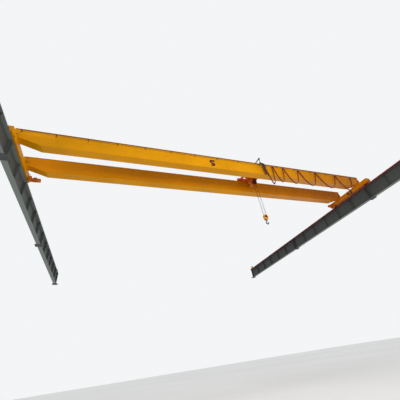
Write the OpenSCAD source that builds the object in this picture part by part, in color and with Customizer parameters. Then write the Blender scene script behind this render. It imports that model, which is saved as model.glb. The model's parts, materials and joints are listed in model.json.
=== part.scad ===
// Double-girder overhead travelling crane on a stretch of its own runway.
// Units are millimetres, +X runs along the span, +Y along the runway, +Z up.
// The origin is the underside of the left bearing plate at the second column line.

/* [Runway] */
// distance between the two crane rails, centre to centre
span = 22500; // [12000:500:28500]
// length of one runway bay between columns
bay = 9000; // [6000:500:9000]
// bays built on the near side of the origin
bays_near = 1; // [1:1:2]
// bays built on the far side of the origin
bays_far = 2; // [1:1:2]
// depth of the runway plate girder
beam_h = 1020; // [600:20:1200]
// width of the runway girder's top flange
beam_w = 320; // [280:10:400]
// width of the runway girder's bottom flange
beam_foot_w = 260; // [220:10:340]
// thickness of the runway girder's flanges
beam_flange_t = 20; // [12:2:28]
// thickness of the runway girder's web
beam_web_t = 12; // [8:2:16]
// height of the crane rail
rail_h = 110; // [80:5:140]
// width of the crane rail's head
rail_head_w = 65; // [50:5:75]

/* [Bridge] */
// middle of the bridge along the runway at rest
bridge_y = 1440; // [0:10:2000]
// distance between the two box girders, centre to centre
girder_pitch = 1960; // [1700:20:2200]
// width over the webs of one box girder
box_w = 420; // [340:10:520]
// height of the girder webs at midspan
web_h = 920; // [700:10:1200]
// thickness of the girder webs
web_t = 8; // [6:1:12]
// thickness of the top flange
top_t = 12; // [8:1:20]
// thickness of the bottom flange
bottom_t = 10; // [8:1:20]
// how far the flanges stand out past the webs
flange_over = 25; // [15:5:40]
// distance from the rail to the foot of the girder's sloping end
haunch_x = 1170; // [900:10:1600]
// length of an end truck
truck_l = 3740; // [3400:20:4200]
// width of an end truck
truck_w = 340; // [300:10:380]
// height of an end truck
truck_h = 340; // [320:10:420]
// diameter of the travel wheels on the tread
wheel_d = 270; // [240:10:300]
// distance between the two wheels of one truck
wheelbase = 3100; // [2800:20:3400]

/* [Trolley] */
// middle of the trolley along the span at rest
trolley_x = 13700; // [8000:10:15000]
// distance between the trolley's axles
trolley_base = 1120; // [1060:20:1240]
// diameter of the trolley wheels on the tread
trolley_wheel_d = 160; // [140:10:200]
// width of the trolley rail bar
trolley_rail_w = 40; // [30:5:50]
// height of the trolley rail bar
trolley_rail_h = 30; // [25:5:40]
// diameter of the rope drum
drum_d = 300; // [260:10:340]

/* [Hook] */
// height of the hook block's pulley axle at rest
block_z = -1270; // [-3000:10:400]
// diameter of the hook block's pulleys
sheave_d = 210; // [200:10:240]
// diameter of the hoist rope
rope_d = 14; // [10:1:18]

/* [Festoon] */
// height at which the cable loops hang from their carriers
festoon_z = 1895; // [1700:5:1950]
// how far the cable loops sag below their hanging points at rest
festoon_sag = 1230; // [700:10:1400]
// thickness of the flat festoon cable bundle
cable_d = 30; // [20:2:40]
// width of the flat festoon cable bundle
cable_w = 80; // [50:5:80]

/* [Hidden] */
$fn = 64;
seat = 0.3;
sole_t = 25;
sole_x = 470;
sole_y = 420;
stiffener_pitch = 1500;
bracket_pitch = 1500;
sole_hole_r = 11;
sole_hole_x = 410;
sole_hole_y = 320;
beam_gap = 20;
runway_y0 = -bays_near * bay;
runway_y1 = bays_far * bay;
rail_z = sole_t + beam_h;
tread_z = rail_z + rail_h;
truck_z = tread_z + 40;
truck_top = truck_z + truck_h;
wall = 8;
wheel_z = tread_z + seat + wheel_d / 2;
tread_w = rail_head_w + 10;
wheel_flange_t = 15;
wheel_w = tread_w + 2 * wheel_flange_t;
axle_r = 32;
axle_fit = 0.3;
housing_r = 82;
housing_t = 26;
hub_l = truck_w + 2 * housing_t + 16;
drive_y = wheelbase / 2;
drive_case_t = 120;
drive_drop = 115;
drive_r = 110;

girder_z = truck_z - 10;
web_z0 = girder_z + bottom_t;
web_z1 = web_z0 + web_h;
top_z = web_z1 + top_t;
end_z = truck_top + bottom_t;
end_x = -50;
seat_x = truck_w / 2 + 60;
flange_w = box_w + 2 * flange_over;
near_y = bridge_y - girder_pitch / 2;
far_y = bridge_y + girder_pitch / 2;
near_face = near_y - box_w / 2;
ribs = 9;

trolley_rail_z = top_z + trolley_rail_h;
trolley_wheel_z = trolley_rail_z + seat + trolley_wheel_d / 2;
trolley_tread_w = trolley_rail_w + 10;
trolley_wheel_w = trolley_tread_w + 24;
trolley_l = trolley_base + trolley_wheel_d + 140;
side_off = 170;
side_w = 100;
side_z = trolley_rail_z + 30;
side_h = 190;
side_top = side_z + side_h;
cheek_gap = trolley_wheel_w + 12;
cheek_t = 12;
cheek_l = 224;
cross_w = 110;
cross_x = trolley_x + trolley_l / 2 - cross_w / 2;
deck_off = 360;
deck_w = 80;
deck_z = side_z + 10;
deck_h = 120;

hook_x = trolley_x + 40;
hook_y = bridge_y;
fall_gap = sheave_d - 20;
fall_y = 30;
hoist_z = top_z + 50;
drum_x = hook_x - fall_gap / 2 - drum_d / 2 - rope_d / 2;
drum_y0 = bridge_y - 250;
drum_y1 = bridge_y + 130;
drum_hub_r = 45;
inner_cross_w = 70;
inner_cross_x = drum_x - drum_d / 2 - 63 - inner_cross_w / 2;
gear_y1 = bridge_y + deck_off - deck_w / 2 - seat;
gear_y0 = gear_y1 - 150;
motor_x = drum_x + 620;
motor_y0 = bridge_y - 310;
motor_z = hoist_z + 40;
motor_r = 110;
anchor_x = hook_x + fall_gap / 2;
anchor_z = hoist_z - 690;
hanger_y = 62;

drive_x = trolley_x + 150;
drive_axis_y = far_y - 410;
drive_motor_r = 88;
drive_motor_l = 590;

festoon_y = near_face - 125;
carrier_x = [13790, 14480, 15340, 16590, 18140, 19990];
clamp_x = span - 880;
saddle_r = 22;
tow_end_x = carrier_x[0] + 140;
tow_end_z = festoon_z - 765;
track_z = festoon_z + 62;
track_w = 36;
tow_pin = 11.5;
track_h = 34;
track_x0 = end_x + 250;
track_x1 = span - end_x - 250;

bar_w = 56;
bar_h = 84;
bar_x = span - beam_w / 2 - 22 - bar_w / 2;
bar_z = rail_z - 6;

stop_h = wheel_z - rail_z + 90;
buffer_l = 90;
buffer_r = 55;

cheek_off = 62;
head_z = block_z - sheave_d / 2 - 95;
hook_drop = 200;
bow_r = 76;
bow_t = 30;

// Shared pieces

module box(x0, x1, y0, y1, z0, z1) {
    translate([x0, y0, z0])
        cube([x1 - x0, y1 - y0, z1 - z0]);
}

module x_rod(x0, x1, y, z, r) {
    translate([x0, y, z])
        rotate([0, 90, 0])
            cylinder(h = x1 - x0, r = r);
}

module y_rod(x, y0, y1, z, r) {
    translate([x, y0, z])
        rotate([-90, 0, 0])
            cylinder(h = y1 - y0, r = r);
}

// outline drawn in X and Z, given thickness from y0 to y1
module side_plate(y0, y1) {
    translate([0, y1, 0])
        rotate([90, 0, 0])
            linear_extrude(height = y1 - y0)
                children();
}

// outline drawn in Y and Z, given thickness from x0 to x1
module end_plate(x0, x1, y = 0, z = 0) {
    translate([x0, y, z])
        rotate([90, 0, 90])
            linear_extrude(height = x1 - x0)
                children();
}

// Runway

module beam_piece(x, y0, y1) {
    l = y1 - y0;
    bays = round(l / stiffener_pitch);
    box(x - beam_foot_w / 2, x + beam_foot_w / 2, y0, y1, sole_t, sole_t + beam_flange_t);
    box(x - beam_w / 2, x + beam_w / 2, y0, y1, rail_z - beam_flange_t, rail_z);
    box(x - beam_web_t / 2, x + beam_web_t / 2, y0, y1, sole_t, rail_z);
    for (i = [0 : bays]) {
        y = y0 + 60 + i * (l - 120) / bays;
        side_plate(y - 5, y + 5)
            stiffener_outline(x);
    }
}

module stiffener_outline(x) {
    foot = beam_foot_w / 2 - 12;
    head = beam_w / 2 - 12;
    polygon([
        [x - foot, sole_t + 5], [x + foot, sole_t + 5],
        [x + head, rail_z - 5], [x - head, rail_z - 5]
    ]);
}

module runway_beam(x) {
    color([0.24, 0.25, 0.26])
        for (i = [-bays_near : bays_far - 1])
            beam_piece(x, i * bay + beam_gap / 2, (i + 1) * bay - beam_gap / 2);
}

module bearing_plates() {
    color([0.30, 0.31, 0.32])
        for (x = [0, span])
            for (i = [-bays_near : bays_far])
                difference() {
                    translate([x - sole_x / 2, i * bay - sole_y / 2, 0])
                        cube([sole_x, sole_y, sole_t]);
                    for (a = [-1, 1])
                        for (b = [-1, 1])
                            translate([x + a * sole_hole_x / 2, i * bay + b * sole_hole_y / 2, -1])
                                cylinder(h = sole_t + 2, r = sole_hole_r);
                }
}

module rail_outline() {
    foot = rail_head_w + 45;
    polygon([
        [-foot / 2, 0], [foot / 2, 0], [foot / 2, 10], [14, 26],
        [14, rail_h - 38], [rail_head_w / 2, rail_h - 28],
        [rail_head_w / 2, rail_h - 4], [rail_head_w / 2 - 4, rail_h],
        [-rail_head_w / 2 + 4, rail_h], [-rail_head_w / 2, rail_h - 4],
        [-rail_head_w / 2, rail_h - 28], [-14, rail_h - 38],
        [-14, 26], [-foot / 2, 10]
    ]);
}

module crane_rails() {
    color([0.32, 0.29, 0.27])
        for (x = [0, span])
            translate([x, runway_y1, rail_z])
                rotate([90, 0, 0])
                    linear_extrude(height = runway_y1 - runway_y0)
                        rail_outline();
}

module bar_outline() {
    difference() {
        translate([bar_x - bar_w / 2, bar_z - bar_h])
            square([bar_w, bar_h]);
        translate([bar_x - bar_w / 2 + 6, bar_z - bar_h + 6])
            square([bar_w - 12, bar_h - 12]);
        translate([bar_x - 12, bar_z - 20])
            square([24, 40]);
    }
}

module conductor_bar() {
    hangers = round((runway_y1 - runway_y0) / bracket_pitch);
    color([0.45, 0.10, 0.09]) {
        translate([0, runway_y1 - 100, 0])
            rotate([90, 0, 0])
                linear_extrude(height = runway_y1 - runway_y0 - 200)
                    bar_outline();
        for (i = [0 : hangers - 1]) {
            y = runway_y0 + bracket_pitch / 2 + i * (runway_y1 - runway_y0 - bracket_pitch) / (hangers - 1);
            bar_hanger(y);
        }
    }
}

// an angle under the top flange with a foot below the bar
module bar_hanger(y) {
    back = bar_x + bar_w / 2 + seat;
    foot = bar_z - bar_h - seat;
    head = rail_z - beam_flange_t - seat;
    box(back, span - beam_w / 2 + 40, y - 25, y + 25, head - 10, head);
    box(back, back + 8, y - 25, y + 25, foot - 8, head);
    box(bar_x - 20, back + 8, y - 25, y + 25, foot - 8, foot);
}

module runway_stops() {
    color([0.75, 0.55, 0.05])
        for (x = [0, span]) {
            stop_piece(x, runway_y0 + 300, -1);
            stop_piece(x, runway_y1 - 300, 1);
        }
}

// a stop stands astride the rail on two plates with a cross plate between
module stop_piece(x, y, side) {
    inner = rail_head_w / 2 + 26;
    for (a = [-1, 1])
        end_plate(x + a * (inner + 6) - 6, x + a * (inner + 6) + 6, y, rail_z + seat)
            polygon([[0, 0], [side * 280, 0], [side * 280, 40], [side * 20, stop_h], [0, stop_h]]);
    y0 = min(y, y + side * 20);
    box(x - inner - 12, x + inner + 12, y0, y0 + 20, tread_z + 12, rail_z + stop_h);
}

// Bridge girders

module web_outline() {
    polygon([
        [end_x, end_z], [seat_x, end_z], [haunch_x, web_z0],
        [span - haunch_x, web_z0], [span - seat_x, end_z], [span - end_x, end_z],
        [span - end_x, web_z1], [end_x, web_z1]
    ]);
}

module bottom_outline() {
    polygon([
        [end_x, end_z - bottom_t], [seat_x, end_z - bottom_t], [haunch_x, web_z0 - bottom_t],
        [span - haunch_x, web_z0 - bottom_t], [span - seat_x, end_z - bottom_t],
        [span - end_x, end_z - bottom_t], [span - end_x, end_z], [span - seat_x, end_z],
        [span - haunch_x, web_z0], [haunch_x, web_z0], [seat_x, end_z], [end_x, end_z]
    ]);
}

module girder_webs(y) {
    color([0.92, 0.58, 0.05]) {
        for (s = [0, 1])
            side_plate(y - box_w / 2 + s * (box_w - web_t), y - box_w / 2 + s * (box_w - web_t) + web_t)
                web_outline();
        for (x = [end_x + 4, span - end_x - 4])
            box(x - 4, x + 4, y - box_w / 2 + 1, y + box_w / 2 - 1, end_z, web_z1);
        for (i = [1 : ribs - 1]) {
            x = haunch_x + i * (span - 2 * haunch_x) / ribs;
            box(x - 3, x + 3, y - box_w / 2 + 1, y + box_w / 2 - 1, web_z0 + 40, web_z1);
        }
    }
}

module top_flange(y) {
    color([0.92, 0.58, 0.05])
        box(end_x, span - end_x, y - flange_w / 2, y + flange_w / 2, web_z1, top_z);
}

module bottom_flange(y) {
    color([0.92, 0.58, 0.05])
        side_plate(y - flange_w / 2, y + flange_w / 2)
            bottom_outline();
}

module trolley_rails() {
    color([0.35, 0.32, 0.30])
        for (y = [near_y, far_y])
            box(300, span - 300, y - trolley_rail_w / 2, y + trolley_rail_w / 2, top_z, trolley_rail_z);
}

module trolley_stops() {
    w = trolley_rail_w + 60;
    c = trolley_rail_w / 2 + 1;
    color([0.92, 0.58, 0.05])
        for (y = [near_y, far_y])
            for (x = [460, span - 460])
                difference() {
                    box(x - 60, x + 60, y - w / 2, y + w / 2, top_z, trolley_wheel_z + 60);
                    box(x - 61, x + 61, y - c, y + c, top_z - 1, trolley_rail_z + 1);
                }
}

// End trucks

module end_truck(x) {
    y0 = bridge_y - truck_l / 2;
    y1 = bridge_y + truck_l / 2;
    slot_l = wheel_d + 2 * wheel_flange_t + 40;
    slot_w = wheel_w + 24;
    inside = truck_w / 2 - wall;
    color([0.92, 0.58, 0.05])
        difference() {
            box(x - truck_w / 2, x + truck_w / 2, y0, y1, truck_z, truck_top);
            box(x - inside, x + inside, y0 + 12, y1 - 12, truck_z + wall, truck_top - wall);
            for (s = [-1, 1]) {
                y = bridge_y + s * wheelbase / 2;
                translate([x - slot_w / 2, y - slot_l / 2, truck_z - 1])
                    cube([slot_w, slot_l, wall + 2]);
                x_rod(x - truck_w, x + truck_w, y, wheel_z, axle_r + 12);
            }
        }
}

module travel_wheel(x, y) {
    x_rod(x - hub_l / 2, x + hub_l / 2, y, wheel_z, axle_r);
    x_rod(x - wheel_w / 2, x + wheel_w / 2, y, wheel_z, wheel_d / 2);
    for (s = [-1, 1])
        x_rod(
            x + s * (tread_w / 2 + wheel_flange_t / 2) - wheel_flange_t / 2,
            x + s * (tread_w / 2 + wheel_flange_t / 2) + wheel_flange_t / 2,
            y, wheel_z, wheel_d / 2 + wheel_flange_t
        );
}

module travel_wheels() {
    color([0.30, 0.29, 0.28])
        for (x = [0, span])
            for (s = [-1, 1])
                travel_wheel(x, bridge_y + s * wheelbase / 2);
}

module wheel_housings() {
    color([0.85, 0.50, 0.06])
        for (x = [0, span])
            for (s = [-1, 1])
                for (a = [-1, 1]) {
                    mid = x + a * (truck_w + housing_t) / 2;
                    y = bridge_y + s * wheelbase / 2;
                    difference() {
                        x_rod(mid - housing_t / 2, mid + housing_t / 2, y, wheel_z, housing_r);
                        x_rod(mid - 60, mid + 60, y, wheel_z, axle_r + axle_fit);
                    }
                }
}

// the drives sit on the inner side of each truck, at its far wheel
module travel_gearbox(x, s) {
    y = bridge_y + drive_y;
    g0 = truck_w / 2 + housing_t + 1;
    translate([x, 0, 0])
        scale([s, 1, 1])
            difference() {
                end_plate(g0, g0 + drive_case_t)
                    hull() {
                        translate([y, wheel_z + 20])
                            circle(r = drive_r);
                        translate([y, wheel_z - drive_drop])
                            circle(r = drive_r);
                    }
                x_rod(g0 - 5, g0 + 15, y, wheel_z, axle_r + axle_fit);
            }
}

module travel_gearboxes() {
    color([0.62, 0.27, 0.06]) {
        travel_gearbox(0, 1);
        travel_gearbox(span, -1);
    }
}

module travel_motor(x, s) {
    y = bridge_y + drive_y;
    g1 = truck_w / 2 + housing_t + 1 + drive_case_t;
    z = wheel_z - drive_drop;
    translate([x, 0, 0])
        scale([s, 1, 1]) {
            x_rod(g1, g1 + 30, y, z, drive_r);
            x_rod(g1 + 29, g1 + 330, y, z, drive_r - 8);
            x_rod(g1 + 329, g1 + 450, y, z, drive_r);
            box(g1 + 120, g1 + 260, y - 60, y + 60, z, z + drive_r + 35);
        }
}

module travel_motors() {
    color([0.62, 0.27, 0.06]) {
        travel_motor(0, 1);
        travel_motor(span, -1);
    }
}

module truck_buffers() {
    color([0.10, 0.10, 0.10])
        for (x = [0, span])
            for (s = [-1, 1]) {
                y = bridge_y + s * truck_l / 2;
                y_rod(x, min(y, y + s * buffer_l), max(y, y + s * buffer_l), wheel_z + 10, buffer_r);
            }
}

// bolted plates between the girder ends and the trucks
module connection_gussets() {
    color([0.92, 0.58, 0.05])
        for (m = [0, 1])
            for (y = [near_y, far_y])
                for (a = [-1, 1]) {
                    face = y + a * box_w / 2;
                    gusset(m, face, a);
                }
}

module gusset(m, face, a) {
    x = m == 0 ? 0 : span;
    s = m == 0 ? 1 : -1;
    reach = 120;
    translate([x, face, 0])
        scale([s, a, 1]) {
            box(end_x + 30, truck_w / 2 - 4, flange_over + 2, flange_over + 14, truck_top, end_z + 260);
            box(end_x + 30, truck_w / 2 - 4, 0, flange_over + 14, end_z + 40, end_z + 52);
            box(end_x + 30, truck_w / 2 - 4, flange_over + 2, reach, truck_top, truck_top + 12);
        }
}

// a switch on a post stands on the left truck and is tripped at the runway's ends
module travel_switch() {
    y = far_y - 400;
    color([0.55, 0.30, 0.07]) {
        box(60, 160, y - 40, y + 40, truck_top, truck_top + 10);
        box(90, 130, y - 25, y + 25, truck_top, truck_top + 400);
        box(80, 260, y - 35, y + 35, truck_top + 330, truck_top + 405);
    }
}

// Festoon

module track_outline() {
    lip = track_w / 2 - 6;
    difference() {
        translate([festoon_y - track_w / 2, track_z])
            square([track_w, track_h]);
        translate([festoon_y - track_w / 2 + 3, track_z + 3])
            square([track_w - 6, track_h - 6]);
        translate([festoon_y - track_w / 2 + lip, track_z - 1])
            square([track_w - 2 * lip, 5]);
    }
}

module festoon_track() {
    posts = round((track_x1 - track_x0) / bracket_pitch);
    color([0.40, 0.33, 0.28]) {
        end_plate(track_x0, track_x1)
            track_outline();
        for (i = [0 : posts]) {
            x = track_x0 + 40 + i * (track_x1 - track_x0 - 80) / posts;
            z = track_z + track_h + seat;
            box(x - 20, x + 20, festoon_y - track_w / 2, near_face, z, z + 6);
            box(x - 20, x + 20, near_face - 6, near_face, track_z - 40, z + 60);
        }
    }
}

// a carrier runs in the track on four rollers
module carrier(x) {
    w = 11;
    z = track_z + 3 + seat + w;
    for (a = [-1, 1]) {
        for (b = [-9, 9])
            y_rod(x + a * 38, festoon_y + b - 5, festoon_y + b + 5, z, w);
        y_rod(x + a * 38, festoon_y - 12, festoon_y + 12, z, 4);
    }
    box(x - 45, x + 45, festoon_y - 3.5, festoon_y + 3.5, festoon_z - 6, z + 5);
}

// the cable lies over a saddle below its support
module saddle(x, z) {
    y_rod(x, festoon_y - 40, festoon_y + 40, z - saddle_r, saddle_r);
}

module festoon_carrier(i) {
    color([0.35, 0.33, 0.32]) {
        carrier(carrier_x[i]);
        saddle(carrier_x[i], festoon_z);
    }
}

// the first carrier is pushed by its pin and holds the first loop low down on a hanging plate
module tow_carrier() {
    x = carrier_x[0];
    color([0.18, 0.14, 0.12]) {
        carrier(x);
        box(x - tow_pin, x + tow_pin, festoon_y - 92, festoon_y + 4, festoon_z + 4, festoon_z + 24);
        side_plate(festoon_y - 66, festoon_y - 56)
            polygon([
                [x - 150, festoon_z + 40], [x + 110, festoon_z + 40], [x + 90, festoon_z - 340],
                [tow_end_x + 22, tow_end_z + 20], [tow_end_x + 22, tow_end_z - 30],
                [x - 70, tow_end_z - 30],
                [x - 95, festoon_z - 495], [x - 135, festoon_z - 160]
            ]);
        y_rod(tow_end_x, festoon_y - 60, festoon_y + 40, tow_end_z - saddle_r, saddle_r);
    }
}

module cable_clamp() {
    color([0.45, 0.46, 0.47]) {
        box(clamp_x - 60, clamp_x + 60, festoon_y - 25, near_face, festoon_z - 6, festoon_z + 6);
        box(clamp_x - 60, clamp_x + 60, near_face - 8, near_face, festoon_z - 80, festoon_z + 40);
        saddle(clamp_x, festoon_z);
    }
}

// each loop hangs between two points as a parabola in X and Z
function loop_at(a, b, sag, t) = a + (b - a) * t - [0, 4 * sag * t * (1 - t)];

function loop_way(a, b, sag, t) =
    let (d = b - a - [0, 4 * sag * (1 - 2 * t)])
    d / norm(d);

function loop_edge(a, b, sag, t, off) =
    let (d = loop_way(a, b, sag, t))
    loop_at(a, b, sag, t) + off * [-d[1], d[0]];

module cable_loop(a, b, sag) {
    steps = 28;
    side_plate(festoon_y - cable_w / 2, festoon_y + cable_w / 2)
        polygon(concat(
            [for (i = [0 : steps]) loop_edge(a, b, sag, i / steps, cable_d / 2)],
            [for (i = [steps : -1 : 0]) loop_edge(a, b, sag, i / steps, -cable_d / 2)]
        ));
}

// the first loop starts lower than the others and sags less
module festoon_cable() {
    under = 2 * saddle_r - 6;
    stops = concat(
        [[tow_end_x, tow_end_z - under]],
        [for (i = [1 : len(carrier_x) - 1]) [carrier_x[i], festoon_z - under]],
        [[clamp_x, festoon_z - under]]
    );
    color([0.30, 0.10, 0.07])
        difference() {
            for (i = [0 : len(stops) - 2])
                cable_loop(stops[i], stops[i + 1], i == 0 ? festoon_sag - 150 : festoon_sag);
            for (p = stops)
                translate([0, 0, p[1] + under - saddle_r])
                    y_rod(p[0], festoon_y - cable_w, festoon_y + cable_w, 0, saddle_r + seat);
        }
}

// the collector hangs on the right truck and reaches over the conductor bar
module current_collector() {
    y = bridge_y - 380;
    x = span - truck_w / 2;
    low = bar_z + 70;
    color([0.20, 0.12, 0.11]) {
        box(x - 12, x, y - 50, y + 50, truck_z + 20, truck_top - 20);
        box(x - 40, x - 11, y - 35, y + 35, low, truck_top - 40);
        box(bar_x - 9, x - 39, y - 20, y + 20, low, low + 30);
        box(bar_x - 9, bar_x + 9, y - 20, y + 20, bar_z + 20, low + 30);
        box(x - 60, x, y + 200, y + 330, truck_z + 70, truck_z + 200);
    }
}

// Trolley

// one side of the trolley, drawn for a girder at y with the slot on its side s
module trolley_side(y, s) {
    c = y + s * side_off;
    box(
        trolley_x - trolley_l / 2, trolley_x + trolley_l / 2,
        c - side_w / 2, c + side_w / 2, side_z, side_top
    );
    for (a = [-1, 1])
        wheel_box(trolley_x + a * trolley_base / 2, y, s);
}

// plates that hold the outer end of a wheel's axle
module wheel_box(x, y, s) {
    out = cheek_gap / 2 + cheek_t;
    back = side_off - side_w / 2 + 1;
    translate([x, y, side_z])
        scale([1, s, 1])
            difference() {
                box(-cheek_l / 2, cheek_l / 2, -out, back, 0, 105);
                box(-cheek_l / 2 + cheek_t, cheek_l / 2 - cheek_t, -cheek_gap / 2, back + 1, -1, 106);
            }
}

// the side beams are joined by two cross beams, with inner beams for the hoist between them
module trolley_frame() {
    inner_y = girder_pitch / 2 - side_off - side_w / 2 + 1;
    bore_r = 20 + axle_fit;
    color([0.72, 0.28, 0.10])
        difference() {
            union() {
                trolley_side(near_y, 1);
                trolley_side(far_y, -1);
                for (c = [[inner_cross_x, inner_cross_w], [cross_x, cross_w]])
                    translate([c[0] - c[1] / 2, bridge_y - inner_y, side_z])
                        cube([c[1], 2 * inner_y, side_h]);
                for (s = [-1, 1])
                    translate([inner_cross_x, bridge_y + s * deck_off - deck_w / 2, deck_z])
                        cube([cross_x - inner_cross_x, deck_w, deck_h]);
                translate([anchor_x - 45, bridge_y - deck_off, deck_z])
                    cube([90, gear_y0 - seat - bridge_y + deck_off, deck_h - 20]);
                far_outrigger();
            }
            for (y = [near_y, far_y])
                for (s = [-1, 1])
                    y_rod(trolley_x + s * trolley_base / 2, y - 240, y + 240, trolley_wheel_z, bore_r);
        }
}

// a light beam beside the far side beam, from the trolley's end to its travel drive
module far_outrigger() {
    x0 = trolley_x - trolley_l / 2;
    y = drive_axis_y + 50;
    x1 = drive_x - drive_motor_r - 12 - seat;
    box(x0, x1, y - 30, y + 30, side_z, side_z + 70);
    box(x0, x0 + 70, y - 30, far_y - side_off, side_z, side_z + 70);
}

module trolley_wheels() {
    color([0.30, 0.29, 0.28])
        for (m = [-1, 1])
            for (s = [-1, 1]) {
                x = trolley_x + s * trolley_base / 2;
                y = bridge_y + m * girder_pitch / 2;
                out = y + m * (cheek_gap / 2 + cheek_t + 8);
                in = y - m * (side_off + side_w / 2 + 8);
                half = trolley_wheel_w / 2;
                y_rod(x, y - half, y + half, trolley_wheel_z, trolley_wheel_d / 2);
                y_rod(x, y - half, y - half + 12, trolley_wheel_z, trolley_wheel_d / 2 + 12);
                y_rod(x, y + half - 12, y + half, trolley_wheel_z, trolley_wheel_d / 2 + 12);
                y_rod(x, min(in, out), max(in, out), trolley_wheel_z, 20);
            }
}

// the trolley's travel drive lies along the far side beam, with its motor hanging down
module trolley_drive() {
    y1 = far_y - side_off - side_w / 2 - seat;
    x1 = trolley_x + trolley_base / 2;
    top = side_z + 140;
    color([0.74, 0.28, 0.09])
        difference() {
            union() {
                box(drive_x - 90, x1 + 34, y1 - 90, y1, side_z, top);
                box(drive_x - 90, drive_x + 90, drive_axis_y - 80, y1, side_z, top);
                translate([drive_x, drive_axis_y, side_z - 25])
                    cylinder(h = 26, r = drive_motor_r + 12);
                translate([drive_x, drive_axis_y, side_z - drive_motor_l])
                    cylinder(h = drive_motor_l, r = drive_motor_r);
                translate([drive_x, drive_axis_y, side_z - drive_motor_l - 24])
                    cylinder(h = 25, r1 = drive_motor_r - 30, r2 = drive_motor_r);
            }
            y_rod(x1, y1 - 30, y1 + 5, trolley_wheel_z, 20 + axle_fit);
        }
}

module hoist_motor() {
    color([0.72, 0.26, 0.08]) {
        y_rod(motor_x, motor_y0, motor_y0 + 110, motor_z, motor_r + 8);
        y_rod(motor_x, motor_y0 + 109, gear_y0 - 30, motor_z, motor_r - 6);
        y_rod(motor_x, gear_y0 - 31, gear_y0, motor_z, motor_r + 20);
        box(motor_x - 80, motor_x + 80, motor_y0 + 190, motor_y0 + 350, motor_z, motor_z + motor_r + 60);
    }
}

// the gearbox joins motor and drum and is bolted to the frame's far inner beam
module hoist_gearbox() {
    color([0.75, 0.27, 0.08])
        difference() {
            side_plate(gear_y0, gear_y1)
                gear_outline();
            y_rod(drum_x, gear_y0 - 1, gear_y0 + 60, hoist_z, drum_hub_r + axle_fit);
        }
}

module gear_outline() {
    left = drum_x - drum_d / 2 - 55;
    polygon([
        [left, hoist_z - 60], [left, hoist_z + 90], [left + 95, hoist_z + 205],
        [drum_x + 150, hoist_z + 205], [motor_x + 90, motor_z + 150], [motor_x + 150, motor_z + 90],
        [motor_x + 150, motor_z - 130], [motor_x + 70, motor_z - 215], [drum_x + 160, hoist_z - 245],
        [drum_x - 60, hoist_z - 245]
    ]);
}

// the rope winds in grooves between the drum's two flanges
module hoist_drum() {
    color([0.45, 0.30, 0.22]) {
        y_rod(drum_x, drum_y0, drum_y1, hoist_z, drum_d / 2);
        for (y = [drum_y0, drum_y1 - 14])
            y_rod(drum_x, y, y + 14, hoist_z, drum_d / 2 + 40);
        y_rod(drum_x, drum_y0 - 60, gear_y0 + 59, hoist_z, drum_hub_r);
    }
}

// the bearing of the drum's near end, on the frame's near inner beam
module drum_bearing() {
    y0 = bridge_y - deck_off + deck_w / 2 + seat;
    color([0.75, 0.27, 0.08])
        difference() {
            side_plate(y0, y0 + 40)
                polygon([
                    [drum_x - 80, hoist_z - 85], [drum_x + 80, hoist_z - 85],
                    [drum_x + 130, hoist_z + 10], [drum_x + 130, hoist_z + 160],
                    [drum_x - 130, hoist_z + 160], [drum_x - 130, hoist_z + 10]
                ]);
            y_rod(drum_x, y0 - 1, y0 + 41, hoist_z, drum_hub_r + axle_fit);
        }
}

// two plates hang from the frame and carry the pin that holds the fixed rope ends
module rope_anchor() {
    r = 20;
    color([0.24, 0.12, 0.09]) {
        for (s = [-1, 1])
            side_plate(hook_y + s * hanger_y - 6, hook_y + s * hanger_y + 6)
                hanger_outline();
        y_rod(anchor_x, hook_y - hanger_y - 14, hook_y + hanger_y + 14, anchor_z, r);
        translate([anchor_x - 45, hook_y - hanger_y, deck_z - 12 - seat])
            cube([90, 2 * hanger_y, 12]);
        for (s = [-1, 1])
            translate([anchor_x - 24, hook_y + s * fall_y - 14, anchor_z - 50])
                cube([48, 28, 90]);
    }
}

module hanger_outline() {
    polygon([
        [anchor_x - 45, deck_z - seat], [anchor_x + 45, deck_z - seat], [anchor_x + 45, anchor_z - 40],
        [anchor_x + 20, anchor_z - 80], [anchor_x - 200, anchor_z - 80], [anchor_x - 230, anchor_z - 40],
        [anchor_x - 230, anchor_z + 150], [anchor_x - 45, anchor_z + 290]
    ]);
}

// the tow arm reaches over the near girder's edge and pushes the first cable carrier
module tow_arm() {
    x = carrier_x[0];
    bar_y1 = near_y + side_off - side_w / 2;
    yf = festoon_y - 95;
    fork = tow_pin + 5.5;
    top = festoon_z + 125;
    color([0.18, 0.14, 0.12]) {
        box(x - 300, x - 260, yf - 50, bar_y1, side_top - 50, side_top - 10);
        box(x - 320, x - 240, yf - 60, yf - 10, side_top - 80, side_top);
        box(x - 300, x - 260, yf - 11, yf, top - 40, side_top - 20);
        side_plate(yf - 10, yf)
            polygon([
                [x - 360, top], [x - 190, top], [x + 30, festoon_z + 55], [x + 30, festoon_z - 20],
                [x - 30, festoon_z - 20], [x - 150, festoon_z + 5], [x - 340, festoon_z + 5]
            ]);
        for (s = [-1, 1])
            box(x + s * fork - 5, x + s * fork + 5, yf - 1, yf + 18, festoon_z - 20, festoon_z + 40);
    }
}

// Hook block and ropes

module block_outline() {
    offset(r = 40)
        polygon([[-70, 100], [70, 100], [120, 0], [70, -190], [-70, -190], [-120, 0]]);
}

module hook_block_cheeks() {
    color([0.95, 0.66, 0.15])
        for (s = [-1, 1])
            difference() {
                translate([hook_x, hook_y + s * cheek_off + 5, block_z])
                    rotate([90, 0, 0])
                        linear_extrude(height = 10)
                            block_outline();
                y_rod(hook_x, hook_y - 90, hook_y + 90, block_z, 25 + axle_fit);
                y_rod(hook_x, hook_y - 90, hook_y + 90, head_z, 22 + axle_fit);
            }
}

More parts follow.
